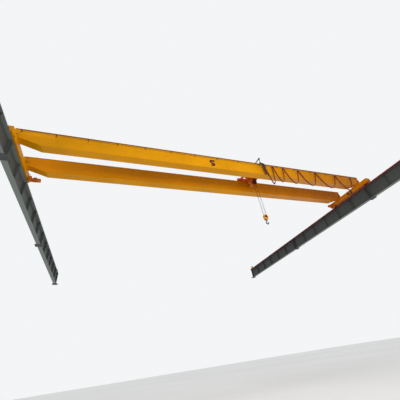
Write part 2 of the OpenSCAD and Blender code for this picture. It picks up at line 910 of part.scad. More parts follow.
module hook_block_sheaves() {
    cap_y = cheek_off + 5 + seat;
    rim = sheave_d / 2;
    groove = (fall_gap - rope_d) / 2;
    color([0.25, 0.24, 0.23])
        translate([hook_x, hook_y, block_z])
            rotate([90, 0, 0])
                rotate_extrude()
                    polygon([
                        [0, -82], [38, -82], [38, -cap_y], [25, -cap_y], [25, -52],
                        [rim, -48], [rim, -40], [groove, -36], [groove, -24], [rim, -20], [rim, -12],
                        [60, -6], [60, 6],
                        [rim, 12], [rim, 20], [groove, 24], [groove, 36], [rim, 40], [rim, 48],
                        [25, 52], [25, cap_y], [38, cap_y], [38, 82], [0, 82]
                    ]);
}

module hook_crosshead() {
    color([0.35, 0.33, 0.32])
        difference() {
            union() {
                y_rod(hook_x, hook_y - 80, hook_y + 80, head_z, 22);
                box(hook_x - 42, hook_x + 42, hook_y - 50, hook_y + 50, head_z - 30, head_z + 30);
            }
            translate([hook_x, hook_y, head_z - 60])
                cylinder(h = 120, r = 21 + axle_fit);
        }
}

// the hook's shank turns in the crosshead, held by a nut
module lifting_hook() {
    color([0.13, 0.13, 0.14])
        translate([hook_x, hook_y, head_z - 30]) {
            translate([0, 0, -70])
                cylinder(h = 148, r = 21);
            translate([0, 0, 60 + seat])
                cylinder(h = 22, r = 34, $fn = 6);
            translate([0, 0, 85 - hook_drop])
                cylinder(h = hook_drop - 85 - seat, r = 28);
            translate([0, 0, -hook_drop])
                hook_bow();
        }
}

// the bow is open on its right side, with a nose that narrows to the tip
module hook_bow() {
    nose = 12;
    rotate([90, 0, 0])
        rotate([0, 0, -180])
            rotate_extrude(angle = 180 + nose)
                translate([bow_r, 0])
                    circle(r = bow_t, $fn = 32);
    hull() {
        rotate([0, -nose, 0])
            translate([bow_r, 0, 0])
                sphere(r = bow_t, $fn = 32);
        translate([bow_r + 8, 0, bow_r - 24])
            sphere(r = 15, $fn = 24);
    }
    translate([-bow_r, 0, 0])
        cylinder(h = 40, r = bow_t);
    hull() {
        translate([-bow_r, 0, 38])
            cylinder(h = 2, r = bow_t, $fn = 32);
        translate([0, 0, 94])
            cylinder(h = 2, r = 32, $fn = 32);
    }
}

// two falls leave the drum's right side and two go up to the fixed ends
module hoist_ropes() {
    color([0.20, 0.19, 0.18])
        for (b = [-1, 1]) {
            rope_fall(-1, b, hoist_z);
            rope_fall(1, b, anchor_z - 50 - seat);
        }
}

module rope_fall(a, b, top) {
    translate([hook_x + a * fall_gap / 2, hook_y + b * fall_y, block_z])
        cylinder(h = top - block_z, d = rope_d, $fn = 12);
}

runway_beam(0);  // left_runway_beam
runway_beam(span);  // right_runway_beam
bearing_plates();
crane_rails();
conductor_bar();
runway_stops();
girder_webs(near_y);  // near_girder_webs
top_flange(near_y);  // near_top_flange
bottom_flange(near_y);  // near_bottom_flange
girder_webs(far_y);  // far_girder_webs
top_flange(far_y);  // far_top_flange
bottom_flange(far_y);  // far_bottom_flange
trolley_rails();
trolley_stops();
end_truck(0);  // left_end_truck
end_truck(span);  // right_end_truck
travel_wheels();
wheel_housings();
travel_gearboxes();
travel_motors();
truck_buffers();
connection_gussets();
travel_switch();
festoon_track();
cable_clamp();
current_collector();
trolley_frame();
trolley_wheels();
trolley_drive();
hoist_motor();
hoist_gearbox();
hoist_drum();
drum_bearing();
rope_anchor();
tow_arm();
hook_block_cheeks();
hook_block_sheaves();
hook_crosshead();
lifting_hook();
hoist_ropes();
tow_carrier();
festoon_carrier(1);  // festoon_carrier_1
festoon_carrier(2);  // festoon_carrier_2
festoon_carrier(3);  // festoon_carrier_3
festoon_carrier(4);  // festoon_carrier_4
festoon_carrier(5);  // festoon_carrier_5
festoon_cable();
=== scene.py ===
"""Looks of the overhead bridge crane: materials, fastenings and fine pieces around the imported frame."""
import json
from itertools import product
from math import cos, hypot, pi, radians, sin, tau

import bmesh
import bpy
from mathutils import Matrix, Vector


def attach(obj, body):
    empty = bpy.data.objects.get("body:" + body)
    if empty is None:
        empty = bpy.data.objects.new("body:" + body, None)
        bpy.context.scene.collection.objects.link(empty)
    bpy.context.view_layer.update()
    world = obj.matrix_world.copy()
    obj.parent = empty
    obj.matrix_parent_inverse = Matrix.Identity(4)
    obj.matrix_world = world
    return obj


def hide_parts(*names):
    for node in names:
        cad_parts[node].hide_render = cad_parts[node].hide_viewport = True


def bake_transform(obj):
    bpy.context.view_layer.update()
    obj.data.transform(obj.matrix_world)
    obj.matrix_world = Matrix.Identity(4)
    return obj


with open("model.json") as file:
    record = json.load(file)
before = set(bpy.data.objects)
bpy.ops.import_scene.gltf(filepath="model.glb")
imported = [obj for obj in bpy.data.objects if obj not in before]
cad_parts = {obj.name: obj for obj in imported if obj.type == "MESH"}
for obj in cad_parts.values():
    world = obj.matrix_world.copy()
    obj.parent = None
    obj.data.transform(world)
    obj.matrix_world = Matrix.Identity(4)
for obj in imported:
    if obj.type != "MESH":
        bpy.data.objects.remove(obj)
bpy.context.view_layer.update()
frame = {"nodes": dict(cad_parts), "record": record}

# Sizes that repeat those of the solids, in metres
SPAN = 22.5
RAILS = (0.0, SPAN)
BAY = 9.0
COLUMNS = range(-1, 3)
BEAM_GAP = 0.01
WEB_SIDE = 0.008
BEAM_FLANGES = (0.047, 1.023)
PLATE_TOP = 0.025
RAIL_Z = 1.045
STOPS = ((-8.7, 1), (17.7, -1))
BAR_X = (22.262, 22.318)
BAR_LOW, BAR_TOP = 0.951, 1.037
BRIDGE_Y = 1.44
NEAR_Y, FAR_Y = 0.46, 2.42
HALF_BOX = 0.21
HALF_FLANGE = 0.235
END_X, SEAT_X, HAUNCH = -0.05, 0.23, 1.17
WEB_LOW, WEB_HIGH, END_Z = 1.195, 2.115, 1.545
FLANGE_LOW, FLANGE_TOP = 1.185, 2.127
TRUCK_HALF = 0.17
TRUCK_LOW, TRUCK_TOP = 1.195, 1.535
TRUCK_Y = (BRIDGE_Y - 1.87, BRIDGE_Y + 1.87)
WHEEL_Y = (BRIDGE_Y - 1.55, BRIDGE_Y + 1.55)
WHEEL_Z = 1.2903
GEARBOX_R = 0.116
SWITCH_Y = FAR_Y - 0.4
COLLECTOR_Y = BRIDGE_Y - 0.38
TROLLEY_X = 13.7
TROLLEY_WHEEL_Z = 2.2373
SIDE_LOW, SIDE_TOP = 2.187, 2.377
DRIVE = Vector((13.85, 2.01, 0))
ARM_X = 13.51
HOOK_X = 13.74
DRUM = Vector((13.488, 0, 2.177))
DRUM_R = 0.15
BEARING_Y = 1.1603
MOTOR = Vector((14.108, 0, 2.217))
GEAR_Y = 1.6097
GEAR_TOP = 2.382
GEAR_MID = (13.78, 2.17)
BLOCK_Z = -1.27
HEAD_Z = -1.47
ROPE_R = 0.007
FALLS = (HOOK_X - 0.095, HOOK_X + 0.095)
FALL_Y = (BRIDGE_Y - 0.03, BRIDGE_Y + 0.03)
ANCHOR_Z = 1.487
FESTOON_Y = 0.125
FESTOON_Z = 1.895
SADDLE_R = 0.022
TRACK_X = (0.2, 22.3)
TRACK_Z = 1.957
CARRIERS = (14.48, 15.34, 16.59, 18.14, 19.99)
CLAMP_X = 21.62
TOW_END = (13.93, 1.13)
SAG = 1.23
FIRST_SAG = 1.08

# The camera fitted to the photo: its own axes, its place, and its focal length in pixels of the picture
CAMERA_AXES = ((0.9382, -0.3201, -0.1314), (-0.0758, -0.5607, 0.8245), (-0.3376, -0.7636, -0.5504))
CAMERA_AT = (4.497, -9.792, -8.47)
FOCAL_PIXELS, PICTURE_PIXELS = 248.677, 400.0


def link_object(name, data):
    obj = bpy.data.objects.new(name, data)
    bpy.context.scene.collection.objects.link(obj)
    return obj


def make_camera():
    data = bpy.data.cameras.new("camera")
    data.sensor_width = 36.0
    data.lens = FOCAL_PIXELS * 36.0 / PICTURE_PIXELS
    data.clip_end = 400.0
    cam = link_object("camera", data)
    cam.matrix_world = Matrix.Translation(CAMERA_AT) @ Matrix(CAMERA_AXES).transposed().to_4x4()
    bpy.context.scene.camera = cam


# Materials

M = {}


class Nodes:
    """A short way to build a node tree. A material's own also has bsdf and coord, from material()."""

    def __init__(self, tree):
        self.tree = tree

    def feed(self, socket, value):
        """Gives a socket a link, a colour or a number."""
        if isinstance(value, bpy.types.NodeSocket):
            self.tree.links.new(value, socket)
        else:
            socket.default_value = (*value, 1) if socket.type == "RGBA" else value

    def node(self, kind, **values):
        n = self.tree.nodes.new(kind)
        for key, value in values.items():
            if key in n.inputs:
                self.feed(n.inputs[key], value)
            else:
                setattr(n, key, value)
        return n

    def noise(self, scale, detail=4.0, rough=0.55, stretch=None):
        at = self.node("ShaderNodeMapping", Scale=stretch, Vector=self.coord).outputs[0] if stretch else self.coord
        return self.node("ShaderNodeTexNoise", Scale=scale, Detail=detail, Roughness=rough, Vector=at).outputs["Fac"]

    def ranged(self, value, low, high, ends="From"):
        m = self.node("ShaderNodeMapRange", **{"Value": value, ends + " Min": low, ends + " Max": high})
        return m.outputs["Result"]

    def part(self, vector, axis):
        return self.node("ShaderNodeSeparateXYZ", Vector=vector).outputs[axis]

    def up(self, low=0.3, high=0.9):
        """1 on faces that look up, where dust settles."""
        return self.ranged(self.part(self.node("ShaderNodeNewGeometry").outputs["Normal"], "Z"), low, high)

    def down(self):
        """1 on faces that look down."""
        return self.math("SUBTRACT", 1.0, self.up(-0.9, -0.5))

    def along_span(self):
        """0 up to the middle of the span, rising to 1 at the right end, where paint() paints in shade."""
        return self.ranged(self.part(self.coord, "X"), 12.0, 22.3)

    def math(self, operation, a, b):
        m = self.node("ShaderNodeMath", operation=operation)
        self.feed(m.inputs[0], a)
        self.feed(m.inputs[1], b)
        return m.outputs[0]

    def ramp(self, fac, *stops):
        """A ramp between two stops, each a place with a grey or a colour."""
        r = self.node("ShaderNodeValToRGB", Fac=fac)
        for stop, (place, c) in zip(r.color_ramp.elements, stops):
            stop.position = place
            stop.color = (*c, 1) if isinstance(c, tuple) else (c, c, c, 1)
        return r.outputs["Color"]

    def mix(self, fac, a, b):
        m = self.node("ShaderNodeMix", data_type="RGBA")
        for i, value in ((0, fac), (6, a), (7, b)):
            self.feed(m.inputs[i], value)
        return m.outputs[2]

    def surface(self, colour, rough_by, rough, height, strength, distance):
        """The shader's colour, its roughness between two values, and its bump."""
        bump = self.node("ShaderNodeBump", Strength=strength, Distance=distance, Height=height)
        self.feed(self.bsdf.inputs["Base Color"], colour)
        self.feed(self.bsdf.inputs["Roughness"], self.ranged(rough_by, *rough, "To"))
        self.feed(self.bsdf.inputs["Normal"], bump.outputs["Normal"])


def material(name):
    """The nodes of a new material, which is kept in M under its name."""
    mat = M[name] = bpy.data.materials.new(name)
    mat.use_nodes = True
    n = Nodes(mat.node_tree)
    n.bsdf = n.tree.nodes["Principled BSDF"]
    n.coord = n.node("ShaderNodeTexCoord").outputs["Object"]
    return n


def lin(r, g, b):
    """A display colour 0-255 as scene-linear values."""
    return tuple(((c / 255 + 0.055) / 1.055) ** 2.4 if c > 10 else c / 255 / 12.92 for c in (r, g, b))


def shade(c, k):
    return tuple(min(1.0, v * k) for v in c)


RUST = (0.1, 0.035, 0.012)
DUST = (0.2, 0.165, 0.12)


def paint(name, base, grime, rough=(0.3, 0.45), dust=0.35, chips=0.5, gloss=0.16, painted_underlight=None, right=None):
    """Sprayed enamel: broad tone changes, fine orange peel, soft streaks, dust on top and a few chips.

    The tone given for faces that look down is painted light from below, and right is a deeper tone painted in as shade
    toward the span's right end, where faces that look down also get a stronger specular level.
    """
    n = material(name)
    broad = n.noise(0.7, 3.0)
    fine = n.noise(9.0, 6.0, 0.6)
    streak = n.noise(2.2, 5.0, 0.65, (3.0, 3.0, 0.35))
    patches = n.ramp(broad, (0.35, 0), (0.65, 1))
    tone = n.mix(patches, shade(base, 0.93), shade(base, 1.05))
    n.bsdf.inputs["Specular IOR Level"].default_value = gloss
    if right:
        # Painted shade: the tone deepens toward the span's right end, and faces that look down get a stronger specular
        # level there
        span = n.along_span()
        tone = n.mix(span, tone, n.mix(patches, shade(right, 0.93), shade(right, 1.05)))
        sheen = n.math("MULTIPLY", n.down(), n.math("ADD", n.math("MULTIPLY", span, 0.7), 0.08))
        n.feed(n.bsdf.inputs["Specular IOR Level"], n.math("ADD", sheen, gloss))
    tone = n.mix(n.ramp(fine, (0.55, 0), (0.78, 0.25)), tone, shade(base, 0.85))
    coat = n.mix(n.ramp(streak, (0.56, 0), (0.8, dust)), tone, grime)
    coat = n.mix(n.math("MULTIPLY", n.up(), n.ramp(fine, (0.2, 0.3), (0.7, 0.75))), coat, DUST)
    specks = n.ramp(n.noise(38.0, 5.0, 0.7), (0.7, 0), (0.72, 1))
    coat = n.mix(n.math("MULTIPLY", specks, n.ramp(broad, (0.4, 0), (0.6, chips))), coat, RUST)
    # Painted light from below: faces that look down take a lighter tone
    if painted_underlight:
        coat = n.mix(n.down(), coat, painted_underlight)
    n.surface(coat, fine, rough, n.noise(160.0, 2.0), 0.06, 0.002)


def steel(name, base, worn, rough=(0.3, 0.55), metal=0.85, scale=14.0):
    """Bare or oiled steel with mottled tarnish."""
    n = material(name)
    broad = n.noise(scale, 7.0, 0.65)
    fine = n.noise(scale * 6, 4.0, 0.5)
    tone = n.mix(n.ramp(broad, (0.38, 0), (0.68, 1)), base, worn)
    coat = n.mix(n.ramp(fine, (0.6, 0), (0.8, 0.5)), tone, shade(base, 0.55))
    n.surface(coat, broad, rough, fine, 0.12, 0.001)
    n.bsdf.inputs["Metallic"].default_value = metal


def rubber(name, base):
    n = material(name)
    a = n.noise(60.0, 5.0)
    n.surface(n.mix(n.ramp(a, (0.4, 0), (0.75, 1)), base, shade(base, 1.5)), a, (0.55, 0.75), a, 0.15, 0.001)


def make_materials():
    girder = {"dust": 0.2, "chips": 0.25, "gloss": 0.05}
    # right= paints shade into the tone toward the span's right end
    paint("crane_yellow", lin(220, 149, 4), lin(160, 100, 10), right=lin(212, 126, 6), **girder)
    # shaded_yellow is the crane paint with the near girder's shadow painted in, for the far girder's webs
    paint("shaded_yellow", lin(212, 134, 3), lin(150, 88, 8), right=lin(200, 112, 4), **girder)
    # Faces of the runway that look down take a lighter tone, painted light from below
    paint("runway_paint", lin(77, 81, 79), lin(98, 96, 90), (0.45, 0.6), painted_underlight=lin(126, 134, 129))
    paint("plate_steel", lin(80, 82, 84), lin(60, 55, 50), (0.5, 0.65))
    steel("rail_steel", lin(112, 100, 92), lin(84, 62, 48))
    paint("bar_red", lin(122, 32, 30), lin(90, 50, 44), (0.35, 0.5), chips=0.0)
    paint("stop_paint", lin(214, 160, 20), lin(110, 90, 40))
    steel("wheel_steel", lin(90, 86, 82), lin(60, 50, 44))
    paint("drive_brown", lin(206, 114, 32), lin(124, 66, 26))
    # motor_orange is lighter than the drive's own colour, partly a painted highlight
    paint("motor_orange", lin(246, 150, 66), lin(150, 84, 40))
    rubber("buffer_rubber", lin(34, 33, 33))
    steel("track_zinc", lin(158, 160, 162), lin(128, 130, 134), (0.35, 0.5), 0.9)
    paint("dark_arm", lin(58, 40, 32), lin(84, 66, 52), (0.4, 0.55))
    paint("hoist_red", lin(226, 90, 24), lin(128, 48, 20))
    steel("drum_steel", lin(120, 84, 62), lin(84, 56, 44), (0.3, 0.5), 0.7)
    paint("block_yellow", lin(236, 168, 62), lin(160, 110, 50))
    steel("hook_black", lin(44, 44, 46), lin(30, 29, 29), (0.4, 0.6), 0.5)
    steel("rope_wire", lin(66, 46, 36), lin(40, 28, 22), (0.5, 0.7), 0.3, 90.0)
    rubber("cable_sheath", lin(118, 44, 22))
    paint("anchor_maroon", lin(92, 24, 12), lin(70, 34, 22), (0.4, 0.55))
    steel("track_brown", lin(128, 96, 66), lin(98, 66, 40), (0.4, 0.6), 0.5)
    paint("mark_paint", lin(70, 16, 14), lin(96, 40, 20), (0.4, 0.55), dust=0.15, chips=0.1)


# Nodes whose colour in the photo differs from that of their slot
TONES = {
    # The far girder's webs take the crane paint with the near girder's shadow painted in
    "far_girder_webs": "shaded_yellow",
    "travel_switch": "crane_yellow",
    "rope_anchor": "anchor_maroon",
    # The trolley drive takes a lighter orange, partly a painted highlight
    "trolley_drive": "motor_orange",
    "festoon_track": "track_brown",
}


def round_shading():
    """Node group that shades round faces smoothly and keeps edges sharp."""
    group = bpy.data.node_groups.new("round_shading", "GeometryNodeTree")
    for way in ("INPUT", "OUTPUT"):
        group.interface.new_socket("Geometry", in_out=way, socket_type="NodeSocketGeometry")
    n = Nodes(group)
    start = n.node("NodeGroupInput").outputs[0]
    faces = n.node("GeometryNodeSetShadeSmooth", domain="FACE", Geometry=start)
    edges = n.node("GeometryNodeSetShadeSmooth", domain="EDGE", Geometry=faces.outputs[0])
    angle = n.node("GeometryNodeInputMeshEdgeAngle").outputs["Unsigned Angle"]
    n.feed(edges.inputs["Shade Smooth"], n.math("LESS_THAN", angle, radians(28)))
    n.node("NodeGroupOutput", Geometry=edges.outputs[0])
    return group


def dress_nodes():
    """Each CAD node takes its slot's material, or the one in TONES."""
    slots = {s["node"]: s["material_slot"] for s in frame["record"]["subparts"]}
    group = round_shading()
    for name, obj in frame["nodes"].items():
        mat = M[TONES.get(name, slots[name])]
        if not obj.material_slots:
            obj.data.materials.append(mat)
        for s in obj.material_slots:
            s.material = mat
        obj.modifiers.new("round_shading", "NODES").node_group = group


# Mesh helpers

X, Y, Z = Vector((1, 0, 0)), Vector((0, 1, 0)), Vector((0, 0, 1))
BOTH = (-1, 1)


def both(middle, d):
    return middle - d, middle + d


def run(a, b, pitch):
    """Even places from a to b, about one pitch apart."""
    n = max(1, round((b - a) / pitch))
    return [a + (b - a) * i / n for i in range(n + 1)]


def across(axis):
    """Two directions square to an axis."""
    u = axis.cross(Z if abs(axis.z) < 0.9 else X).normalized()
    return u, axis.cross(u).normalized()


def circle_points(at, axis, r, count, turn=0.0):
    at, (u, v) = Vector(at), across(axis)
    turns = [tau * i / count + turn for i in range(count)]
    return [at + (u * cos(a) + v * sin(a)) * r for a in turns]


def smooth(path, steps=6):
    """Points along a soft curve through the path."""
    pts = [Vector(p) for p in path]
    pts = [pts[0] * 2 - pts[1]] + pts + [pts[-1] * 2 - pts[-2]]
    out = []
    for a, b, c, d in zip(pts, pts[1:], pts[2:], pts[3:]):
        for i in range(steps):
            t = i / steps
            bend = (2 * a - 5 * b + 4 * c - d) * t * t + (3 * b - a - 3 * c + d) * t ** 3
            out.append(0.5 * (2 * b + (c - a) * t + bend))
    return out + [pts[-2]]


def heading(path, i):
    return (path[min(i + 1, len(path) - 1)] - path[max(i - 1, 0)]).normalized()


# Where an outline's points go, at thickness t
def xz(u, v, t):
    return (u, t, v)


def yz(u, v, t):
    return (t, u, v)


class Piece:
    """Gathers the faces of one piece, and makes the object at the end."""

    def __init__(self, name, slot, *bodies):
        self.name, self.slot, self.bodies = name, slot, bodies
        self.verts, self.faces = [], []

    def add(self, verts, faces):
        k = len(self.verts)
        self.verts += [tuple(v) for v in verts]
        self.faces += [tuple(i + k for i in f) for f in faces]

    def skin(self, rings, closed=False):
        """A surface over rings of points, with a cap at each end, or closed from the last ring to the first."""
        n, rows = len(rings[0]), len(rings)
        faces = [] if closed else [range(n), range((rows - 1) * n, rows * n)]
        for k in range(rows if closed else rows - 1):
            for i in range(n):
                j, m = (i + 1) % n, (k + 1) % rows
                faces.append((k * n + i, k * n + j, m * n + j, m * n + i))
        self.add([p for ring in rings for p in ring], faces)

    def block(self, a, b, c=0.0):
        """A box between two corners, with its edges cut back by c."""
        ends = [sorted(pair) for pair in zip(a, b)]
        corners = list(product((0, 1), repeat=3))
        # Each corner has three points, and point k isn't cut back along axis k
        verts = [
            [ends[i][s[i]] + (0 if i == k else (c, -c)[s[i]]) for i in range(3)] for s in corners for k in range(3)
        ]

        def point(k, *places):
            s = dict(places)
            return (s[0] * 4 + s[1] * 2 + s[2]) * 3 + k

        faces = []
        for k in range(3):
            i, j = [n for n in range(3) if n != k]
            for e in (0, 1):
                faces.append([point(k, (k, e), (i, p), (j, q)) for p, q in ((0, 0), (1, 0), (1, 1), (0, 1))])
            if c > 0:
                for p, q in product((0, 1), repeat=2):
                    edge = ((i, 0), (j, 0), (j, 1), (i, 1))
                    faces.append([point(w, (k, e), (i, p), (j, q)) for w, e in edge])
        if c > 0:
            faces += [range(3 * m, 3 * m + 3) for m in range(8)]
        self.add(verts, faces)

    def prism(self, outline, place, a, b):
        """An outline given thickness from a to b; place(u, v, t) says where its points go."""
        self.skin([[place(u, v, t) for u, v in outline] for t in (a, b)])

    def lathe(self, at, axis, profile, n=20, closed=False):
        """A profile of (distance along the axis, radius) turned round it."""
        self.skin([circle_points(Vector(at) + axis * t, axis, r, n) for t, r in profile], closed)

    def ring(self, at, axis, inner, outer, a, b, n=28):
        """A flat ring from a to b along the axis."""
        self.lathe(at, axis, ((a, inner), (a, outer), (b, outer), (b, inner)), n, True)

    def tube(self, path, r, n=8, flat=None):
        """A round or flat band along a path; flat is (half width along Y, half thickness), which r scales."""
        pts = [Vector(p) for p in path]
        turns = [tau * (k + 0.5) / n for k in range(n)]
        rings, u = [], None
        for i, p in enumerate(pts):
            d = heading(pts, i)
            rad = r[i] if isinstance(r, (list, tuple)) else r
            if flat:
                w, ring = d.cross(Y).normalized(), []
                for cu, cw in [(cos(a), sin(a)) for a in turns]:
                    m = max(abs(cu), abs(cw)) ** 0.6
                    ring.append(p + (Y * flat[0] * cu + w * flat[1] * cw) * rad / m)
            else:
                u = across(d)[0] if u is None else (u - d * u.dot(d)).normalized()
                w = d.cross(u)
                ring = [p + (u * cos(a) + w * sin(a)) * rad for a in turns]
            rings.append(ring)
        self.skin(rings)

    def bead(self, a, b, r=0.005, step=0.5):
        """A weld bead with a slightly uneven back, between two points."""
        a, b = Vector(a), Vector(b)
        count = max(2, int((b - a).length / step) + 1)
        path = [a.lerp(b, i / count) for i in range(count + 1)]
        self.tube(path, [r * (1 + 0.12 * sin(i * 2.4)) for i in range(count + 1)], 5)

    def bolt(self, at, axis, r=0.012, washer=True):
        """A hexagon head with its washer; at is on the face, axis points out of it."""
        t = 0.2 * r if washer else 0.0
        if washer:
            self.lathe(at, axis, [(0, 1.55 * r), (t, 1.55 * r)], 14)
        self.lathe(at, axis, [(t, 0.96 * r), (t + 0.08 * r, r), (t + 0.65 * r, r), (t + 0.78 * r, 0.86 * r)], 6)
        self.lathe(at, axis, [(t + 0.7 * r, 0.4 * r), (t + 1.0 * r, 0.36 * r)], 8)

    def bolts(self, xs, ys, zs, axis, r, washer=True):
        """Bolts at every crossing of the places along X, Y and Z, one or more along each."""
        for at in product(*(v if isinstance(v, (list, tuple)) else (v,) for v in (xs, ys, zs))):
            self.bolt(at, axis, r, washer)

    def bolt_circle(self, at, axis, radius, count, r, turn=0.0, side=1):
        """Bolts in a circle round an axis, with heads that point along it, or against it for a side of -1."""
        for p in circle_points(at, axis, radius, count, turn):
            self.bolt(p, axis * side, r)

    def fins(self, at, axis, inner, outer, a, b, count, skip=None):
        """Cooling fins along a motor's body, left out on the side that skip points to."""
        for d in circle_points((0, 0, 0), axis, 1, count):
            if skip and d.dot(skip) > 0.72:
                continue
            side = axis.cross(d) * 0.0018
            line = [at + axis * t + d * r for t, r in ((a, inner), (a + 0.012, outer), (b - 0.012, outer), (b, inner))]
            self.skin([[p + side for p in line], [p - side for p in line]])

    def grille(self, at, axis, r, depth=0.004):
        """Rings and spokes of a fan cover's end."""
        for k in range(4):
            self.ring(at, axis, r * (0.26 + 0.19 * k), r * (0.32 + 0.19 * k), 0.0, depth, 24)
        for d in circle_points((0, 0, 0), axis, 1, 6):
            w = axis.cross(d) * 0.003
            a, b = at + d * r * 0.2, at + d * r * 0.9
            spoke = [a + w, a - w, b - w, b + w]
            self.skin([spoke, [p + axis * (depth + 0.001) for p in spoke]])

    def gland(self, at, axis, r):
        """A cable gland with its nut."""
        self.lathe(at, axis, [(0, r), (0.006, r), (0.006, 0.85 * r), (0.02, 0.8 * r), (0.028, 0.55 * r)], 6)

    def done(self, start=None, end=None, stands_for=()):
        """Makes the object, which rides on its body, or stays where it is when it has two."""
        mesh = bpy.data.meshes.new(self.name)
        mesh.from_pydata(self.verts, [], self.faces)
        bm = bmesh.new()
        bm.from_mesh(mesh)
        bmesh.ops.remove_doubles(bm, verts=bm.verts, dist=1e-6)
        bmesh.ops.recalc_face_normals(bm, faces=bm.faces)
        bm.to_mesh(mesh)
        bm.free()
        mesh.polygons.foreach_set("use_smooth", [True] * len(mesh.polygons))
        mesh.set_sharp_from_angle(angle=radians(32))
        mesh.materials.append(M[self.slot])
        obj = link_object(self.name, mesh)
        if len(self.bodies) == 2:
            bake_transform(obj)
        else:
            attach(obj, self.bodies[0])
        if stands_for:
            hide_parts(*stands_for)


# Pieces of the function that runs, which are finished after it
WAITING = []


def pieces(body, **slots):
    """New waiting pieces that ride on one body, from their names and slots."""
    WAITING.extend(Piece(name, slot, body) for name, slot in slots.items())
    return WAITING[-len(slots):]


# Runway

def runway_pieces():
    clips, anchors, welds, pads, bolts, sleeves, screws = pieces(
        "runway", rail_clips="plate_steel", anchor_nuts="wheel_steel", runway_welds="runway_paint",
        stop_pads="buffer_rubber", stop_bolts="wheel_steel", bar_joints="bar_red", bar_hanger_bolts="wheel_steel",
    )
    foot = ((0.057, 0), (0.102, 0), (0.102, 0.016), (0.078, 0.022), (0.048, 0.0225), (0.048, 0.014), (0.057, 0.0115))
    for x, y, s in product(RAILS, run(-8.5, 17.5, 0.65), BOTH):
        clips.prism([(x + s * u, RAIL_Z + v) for u, v in foot], xz, y - 0.03, y + 0.03)
        clips.bolt((x + s * 0.082, y, RAIL_Z + 0.021), Z, 0.013)

    for x, i, sx, sy in product(RAILS, COLUMNS, BOTH, BOTH):
        at = Vector((x + sx * 0.205, i * BAY + sy * 0.16, PLATE_TOP))
        anchors.lathe(at, Z, [(0, 0.019), (0.004, 0.019)], 16)
        anchors.lathe(at, Z, [(0.004, 0.0165), (0.006, 0.0175), (0.018, 0.0175), (0.02, 0.016)], 6)
        anchors.lathe(at, Z, [(0.015, 0.01), (0.042, 0.01), (0.044, 0.008)], 12)
        if i + sy in COLUMNS:
            anchors.bolt((x + sx * 0.09, i * BAY + sy * 0.13, PLATE_TOP + 0.02), Z, 0.015)

    low, high = BEAM_FLANGES
    for x, i, s in product(RAILS, COLUMNS[:-1], BOTH):
        y0, y1 = i * BAY + BEAM_GAP, (i + 1) * BAY - BEAM_GAP
        web = x + s * WEB_SIDE
        for z in BEAM_FLANGES:
            welds.bead((web, y0, z), (web, y1, z), 0.006, 1.0)
        for j, e in product(range(7), BOTH):
            y = y0 + 0.06 + j * (y1 - y0 - 0.12) / 6 + e * 0.006
            welds.bead((web, y, low + 0.003), (web, y, high - 0.003), 0.005, 0.4)
            for reach, z in ((0.145, high), (0.115, low)):
                welds.bead((x + s * 0.01, y, z), (x + s * reach, y, z), 0.005, 0.2)

    for x, (y, s) in product(RAILS, STOPS):
        pads.block((x - 0.06, y, 1.235), (x + 0.06, y + s * 0.03, 1.365), 0.006)
        bolts.bolts(both(x, 0.045), y - s * 0.02, (1.25, 1.35), Y * -s, 0.009)

    x0, x1 = BAR_X
    for y in run(-6.75, 15.75, 4.5):
        ya, yb = both(y, 0.07)
        sleeves.block((x0 - 0.005, ya, BAR_LOW), (x0, yb, BAR_TOP), 0.001)
        sleeves.block((x0 - 0.005, ya, BAR_LOW - 0.001), (x1 + 0.004, yb, BAR_LOW + 0.004), 0.001)
        sleeves.block((x1, ya, BAR_LOW), (x1 + 0.004, yb, BAR_TOP), 0.001)
    for y, s in ((-8.9, -1), (17.9, 1)):
        sleeves.block((x0 - 0.004, y, BAR_LOW), (x1 + 0.004, y + s * 0.02, BAR_TOP + 0.004), 0.003)
    for y in run(-8.25, 17.25, 1.5):
        screws.bolt((22.345, y, 1.0147), -Z, 0.007)
        screws.bolt((22.29, y, 0.9467), -Z, 0.006)


# Bridge girders and trucks

def girder_pieces():
    half = [(END_X, END_Z), (SEAT_X, END_Z), (HAUNCH, WEB_LOW)]
    line = half + [(SPAN - x, z) for x, z in reversed(half)]
    for name, y in (("near", NEAR_Y), ("far", FAR_Y)):
        slots = {name + "_girder_welds": "crane_yellow", name + "_trolley_rail_welds": "wheel_steel"}
        welds, clips = pieces("bridge", **slots)
        for s in BOTH:
            side, face, end = (y + s * (HALF_BOX + d) for d in (0, 0.002, -0.004))
            for (xa, za), (xb, zb) in zip(line, line[1:]):
                welds.bead((xa, face, za + 0.003), (xb, face, zb + 0.003), 0.006)
            welds.bead((END_X, face, WEB_HIGH - 0.003), (SPAN - END_X, face, WEB_HIGH - 0.003), 0.006)
            for x in (5.62, 11.25, 16.88):
                welds.bead((x, side, WEB_LOW), (x, side, WEB_HIGH), 0.005, 0.05)
            for x in (END_X, SPAN - END_X):
                welds.bead((x, end, END_Z), (x, end, WEB_HIGH), 0.005)
        w = HALF_FLANGE
        for x in (7.5, 15.0):
            for a, b, z in ((-w, w, FLANGE_LOW), (-w, -0.022, FLANGE_TOP), (0.022, w, FLANGE_TOP)):
                welds.bead((x, y + a, z), (x, y + b, z), 0.004, 0.05)
        z = FLANGE_TOP + 0.002
        for x, yc in product(run(0.4, SPAN - 0.4, 0.5), both(y, 0.021)):
            clips.bead((x - 0.05, yc, z), (x + 0.05, yc, z), 0.0045, 0.03)


